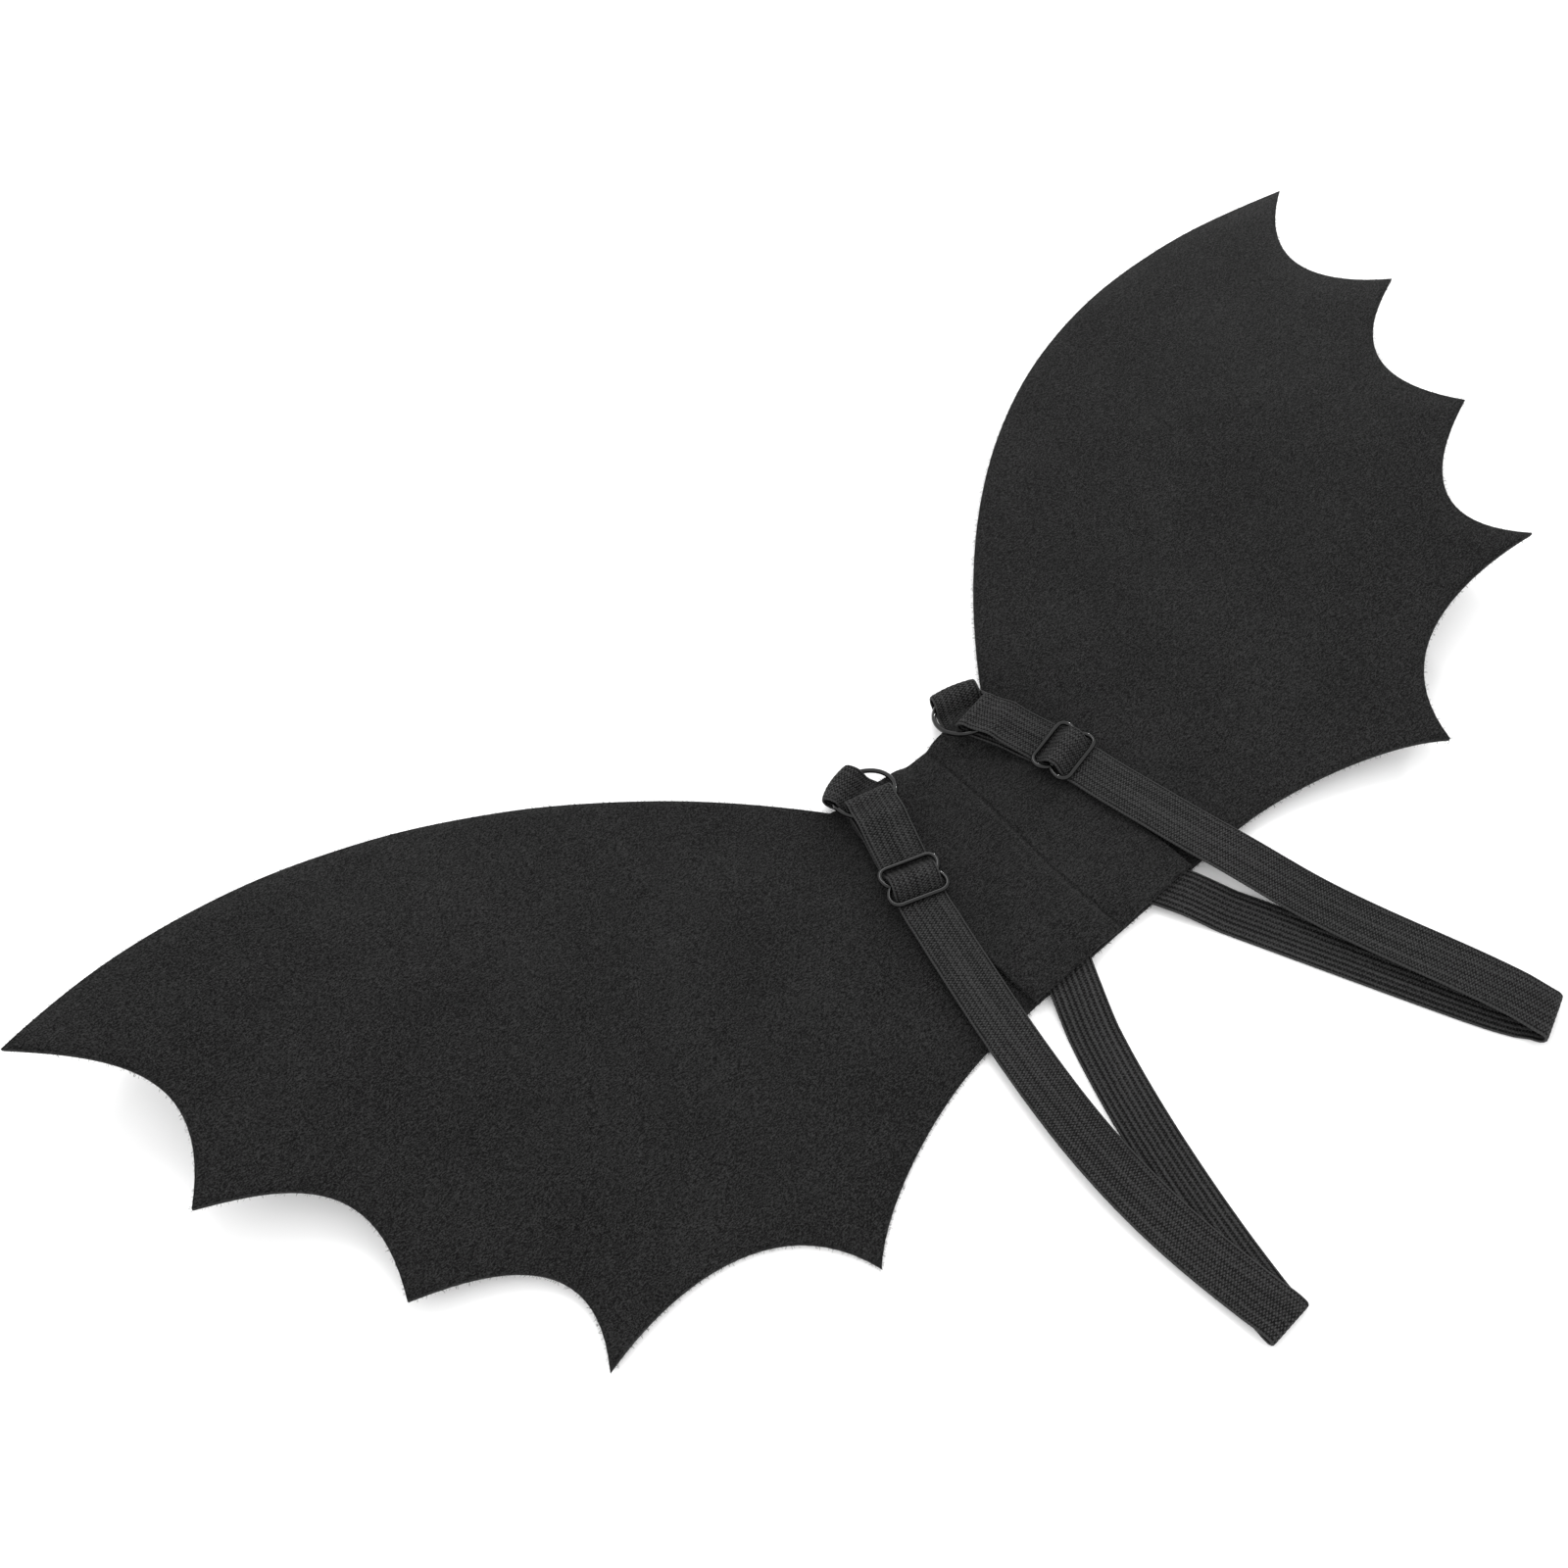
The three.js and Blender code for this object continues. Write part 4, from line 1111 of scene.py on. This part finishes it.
def back_patch():
    ends = sewn_ends()
    columns, rows = 100, 72

    def places(s, t, inset, height):
        x = (s - 0.5) * (PATCH_WIDTH - 2 * inset)
        y = (HEM_Y + inset) * (1 - t) + (patch_edge_at(x) - inset) * t
        plan = np.c_[x, y]
        wander = CREASE_X + CREASE_SWING * np.sin(y / CREASE_WAVE)
        crease = CREASE_DEPTH * (1 - smooth_step(np.abs(x - wander), 0, CREASE_WIDTH))
        under = FELT_THICKNESS + SEW_GAP + patch_rise(ends, plan)
        return np.c_[plan, under + height * PATCH_THICKNESS - (crease if height > 0.5 else 0)]

    t, s = np.meshgrid(np.linspace(0, 1, rows + 1), np.linspace(0, 1, columns + 1), indexing="ij")
    s, t = s.ravel(), t.ravel()
    points = [places(s, t, CUT_EDGE_ROUND, 0), places(s, t, CUT_EDGE_ROUND, 1)]
    grid_faces = ring_faces(rows + 1, columns + 1, False)
    layer = len(s)
    faces = grid_faces + [tuple(i + layer for i in face) for face in grid_faces]
    edge = list(range(columns))
    edge += [i * (columns + 1) + columns for i in range(rows)]
    edge += [rows * (columns + 1) + j for j in range(columns, 0, -1)]
    edge += [i * (columns + 1) for i in range(rows, 0, -1)]
    edge = np.array(edge)
    loops = [edge]
    for inset, height in CUT_EDGE_STEPS:
        loops.append(np.arange(len(edge)) + sum(len(p) for p in points))
        points.append(places(s[edge], t[edge], CUT_EDGE_ROUND * inset, height))
    loops.append(edge + layer)
    for low, high in zip(loops, loops[1:]):
        for j in range(len(edge)):
            k = (j + 1) % len(edge)
            faces.append((low[j], low[k], high[k], high[j]))
    return mesh_piece("patch_felt", np.vstack(points), faces)


def fold_painted_shade_and_light(tree, place, tone):
    """The fold's shading is painted: a thin dark line of painted shade on it, and a band of painted light
    beside it where the felt stands up.
    """
    parts = add_node(tree, "ShaderNodeSeparateXYZ", inputs={0: place}).outputs
    turns = add_node(tree, "ShaderNodeMath", {"operation": "DIVIDE"}, {0: parts["Y"], 1: CREASE_WAVE})
    swing = add_node(tree, "ShaderNodeMath", {"operation": "SINE"}, {0: turns})
    line = add_node(
        tree, "ShaderNodeMath", {"operation": "MULTIPLY_ADD"}, {0: swing, 1: CREASE_SWING, 2: CREASE_X}
    )
    beside = add_node(tree, "ShaderNodeMath", {"operation": "SUBTRACT"}, {0: parts["X"], 1: line})
    away = add_node(tree, "ShaderNodeMath", {"operation": "ABSOLUTE"}, {0: beside})
    # Paints a dark line of shade on the fold and a lighter band of painted light on each side
    for near, far, change in CREASE_PAINTED_SHADE_AND_LIGHT:
        band = add_node(
            tree,
            "ShaderNodeMapRange",
            {"interpolation_type": "SMOOTHSTEP"},
            {"Value": away, "From Min": near, "From Max": far, "To Min": 1.0, "To Max": 0.0},
        )
        tone = add_node(
            tree, "ShaderNodeMath", {"operation": "MULTIPLY_ADD"}, {0: band, 1: change, 2: tone}
        )
    return tone


patch_felt = back_patch()
# This felt has painted shade on its fold line and painted light beside it
patch_felt.data.materials.append(needle_felt("black_needle_felt_with_painted_fold_shade", fold_painted_shade_and_light))
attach(patch_felt, "root")
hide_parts("back_patch")
patch_fibres = [
    fibres_on("patch_surface_fibres", patch_felt, SURFACE_FIBRES | {"Seed": 14}),
    fibres_on("patch_edge_fibres", patch_felt, EDGE_FIBRES | {"Seed": 21}),
]
for piece in patch_fibres:
    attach(piece, "root")


# The floor
# A plain white paper sweep, so pale that only the faint shadows under the wings show on it.

FLOOR_REACH = 4
FLOOR_Z = -0.0001

floor_signs = ((-1, -1), (1, -1), (1, 1), (-1, 1))
floor_corners = [(x * FLOOR_REACH, y * FLOOR_REACH, FLOOR_Z) for x, y in floor_signs]
floor = mesh_piece("floor", floor_corners, [(0, 1, 2, 3)])
paper = new_material("white_paper_floor")
finish_material(
    paper,
    add_node(
        paper.node_tree,
        "ShaderNodeBsdfPrincipled",
        inputs={"Base Color": linear("#fefefe"), "Roughness": 0.9, "Specular IOR Level": 0.1},
    ),
)
floor.data.materials.append(paper)


# The light
# A bright room with a soft light overhead, a little behind the wings, and a small low one at the right
# that puts the bright points on the wire.

world = bpy.data.worlds.new("white_room")
world.use_nodes = True
world.node_tree.nodes["Background"].inputs["Color"].default_value = (1, 1, 1, 1)
world.node_tree.nodes["Background"].inputs["Strength"].default_value = 1.4
bpy.context.scene.world = world
for name, size, power, place in (
    ("overhead_softbox", 0.6, 6, (0.35, 0.75, 1.5)),
    ("low_side_light", 0.1, 4, (1.28, 0.67, 0.69)),
):
    light = bpy.data.lights.new(name, "AREA")
    light.shape = "DISK"
    light.size = size
    light.energy = power
    light_place = bpy.data.objects.new(name, light)
    light_place.location = place
    light_place.rotation_euler = (-light_place.location).to_track_quat("-Z", "Y").to_euler()
    bpy.context.scene.collection.objects.link(light_place)
bpy.context.scene.view_settings.view_transform = "Standard"


# The camera
# It looks down on the wings from beyond the lower edge and the left wing, as the photograph does.

CAMERA_PLACE = (-0.2862, -0.2389, 0.6520)
CAMERA_RIGHT = (0.74855, -0.66089, -0.05385)
CAMERA_DOWN = (-0.58475, -0.61965, -0.52355)
CAMERA_LOOK = (0.31264, 0.42339, -0.85029)

camera = bpy.data.cameras.new("photo_camera")
camera.sensor_width = 36
camera.lens = 42.764
camera.clip_start = 0.01
camera.clip_end = 50
camera_place = bpy.data.objects.new("photo_camera", camera)
facing = Matrix([CAMERA_RIGHT, CAMERA_DOWN, CAMERA_LOOK]).transposed()
facing = facing @ Matrix([(1, 0, 0), (0, -1, 0), (0, 0, -1)])
camera_place.matrix_world = Matrix.Translation(CAMERA_PLACE) @ facing.to_4x4()
bpy.context.scene.collection.objects.link(camera_place)
bpy.context.scene.camera = camera_place
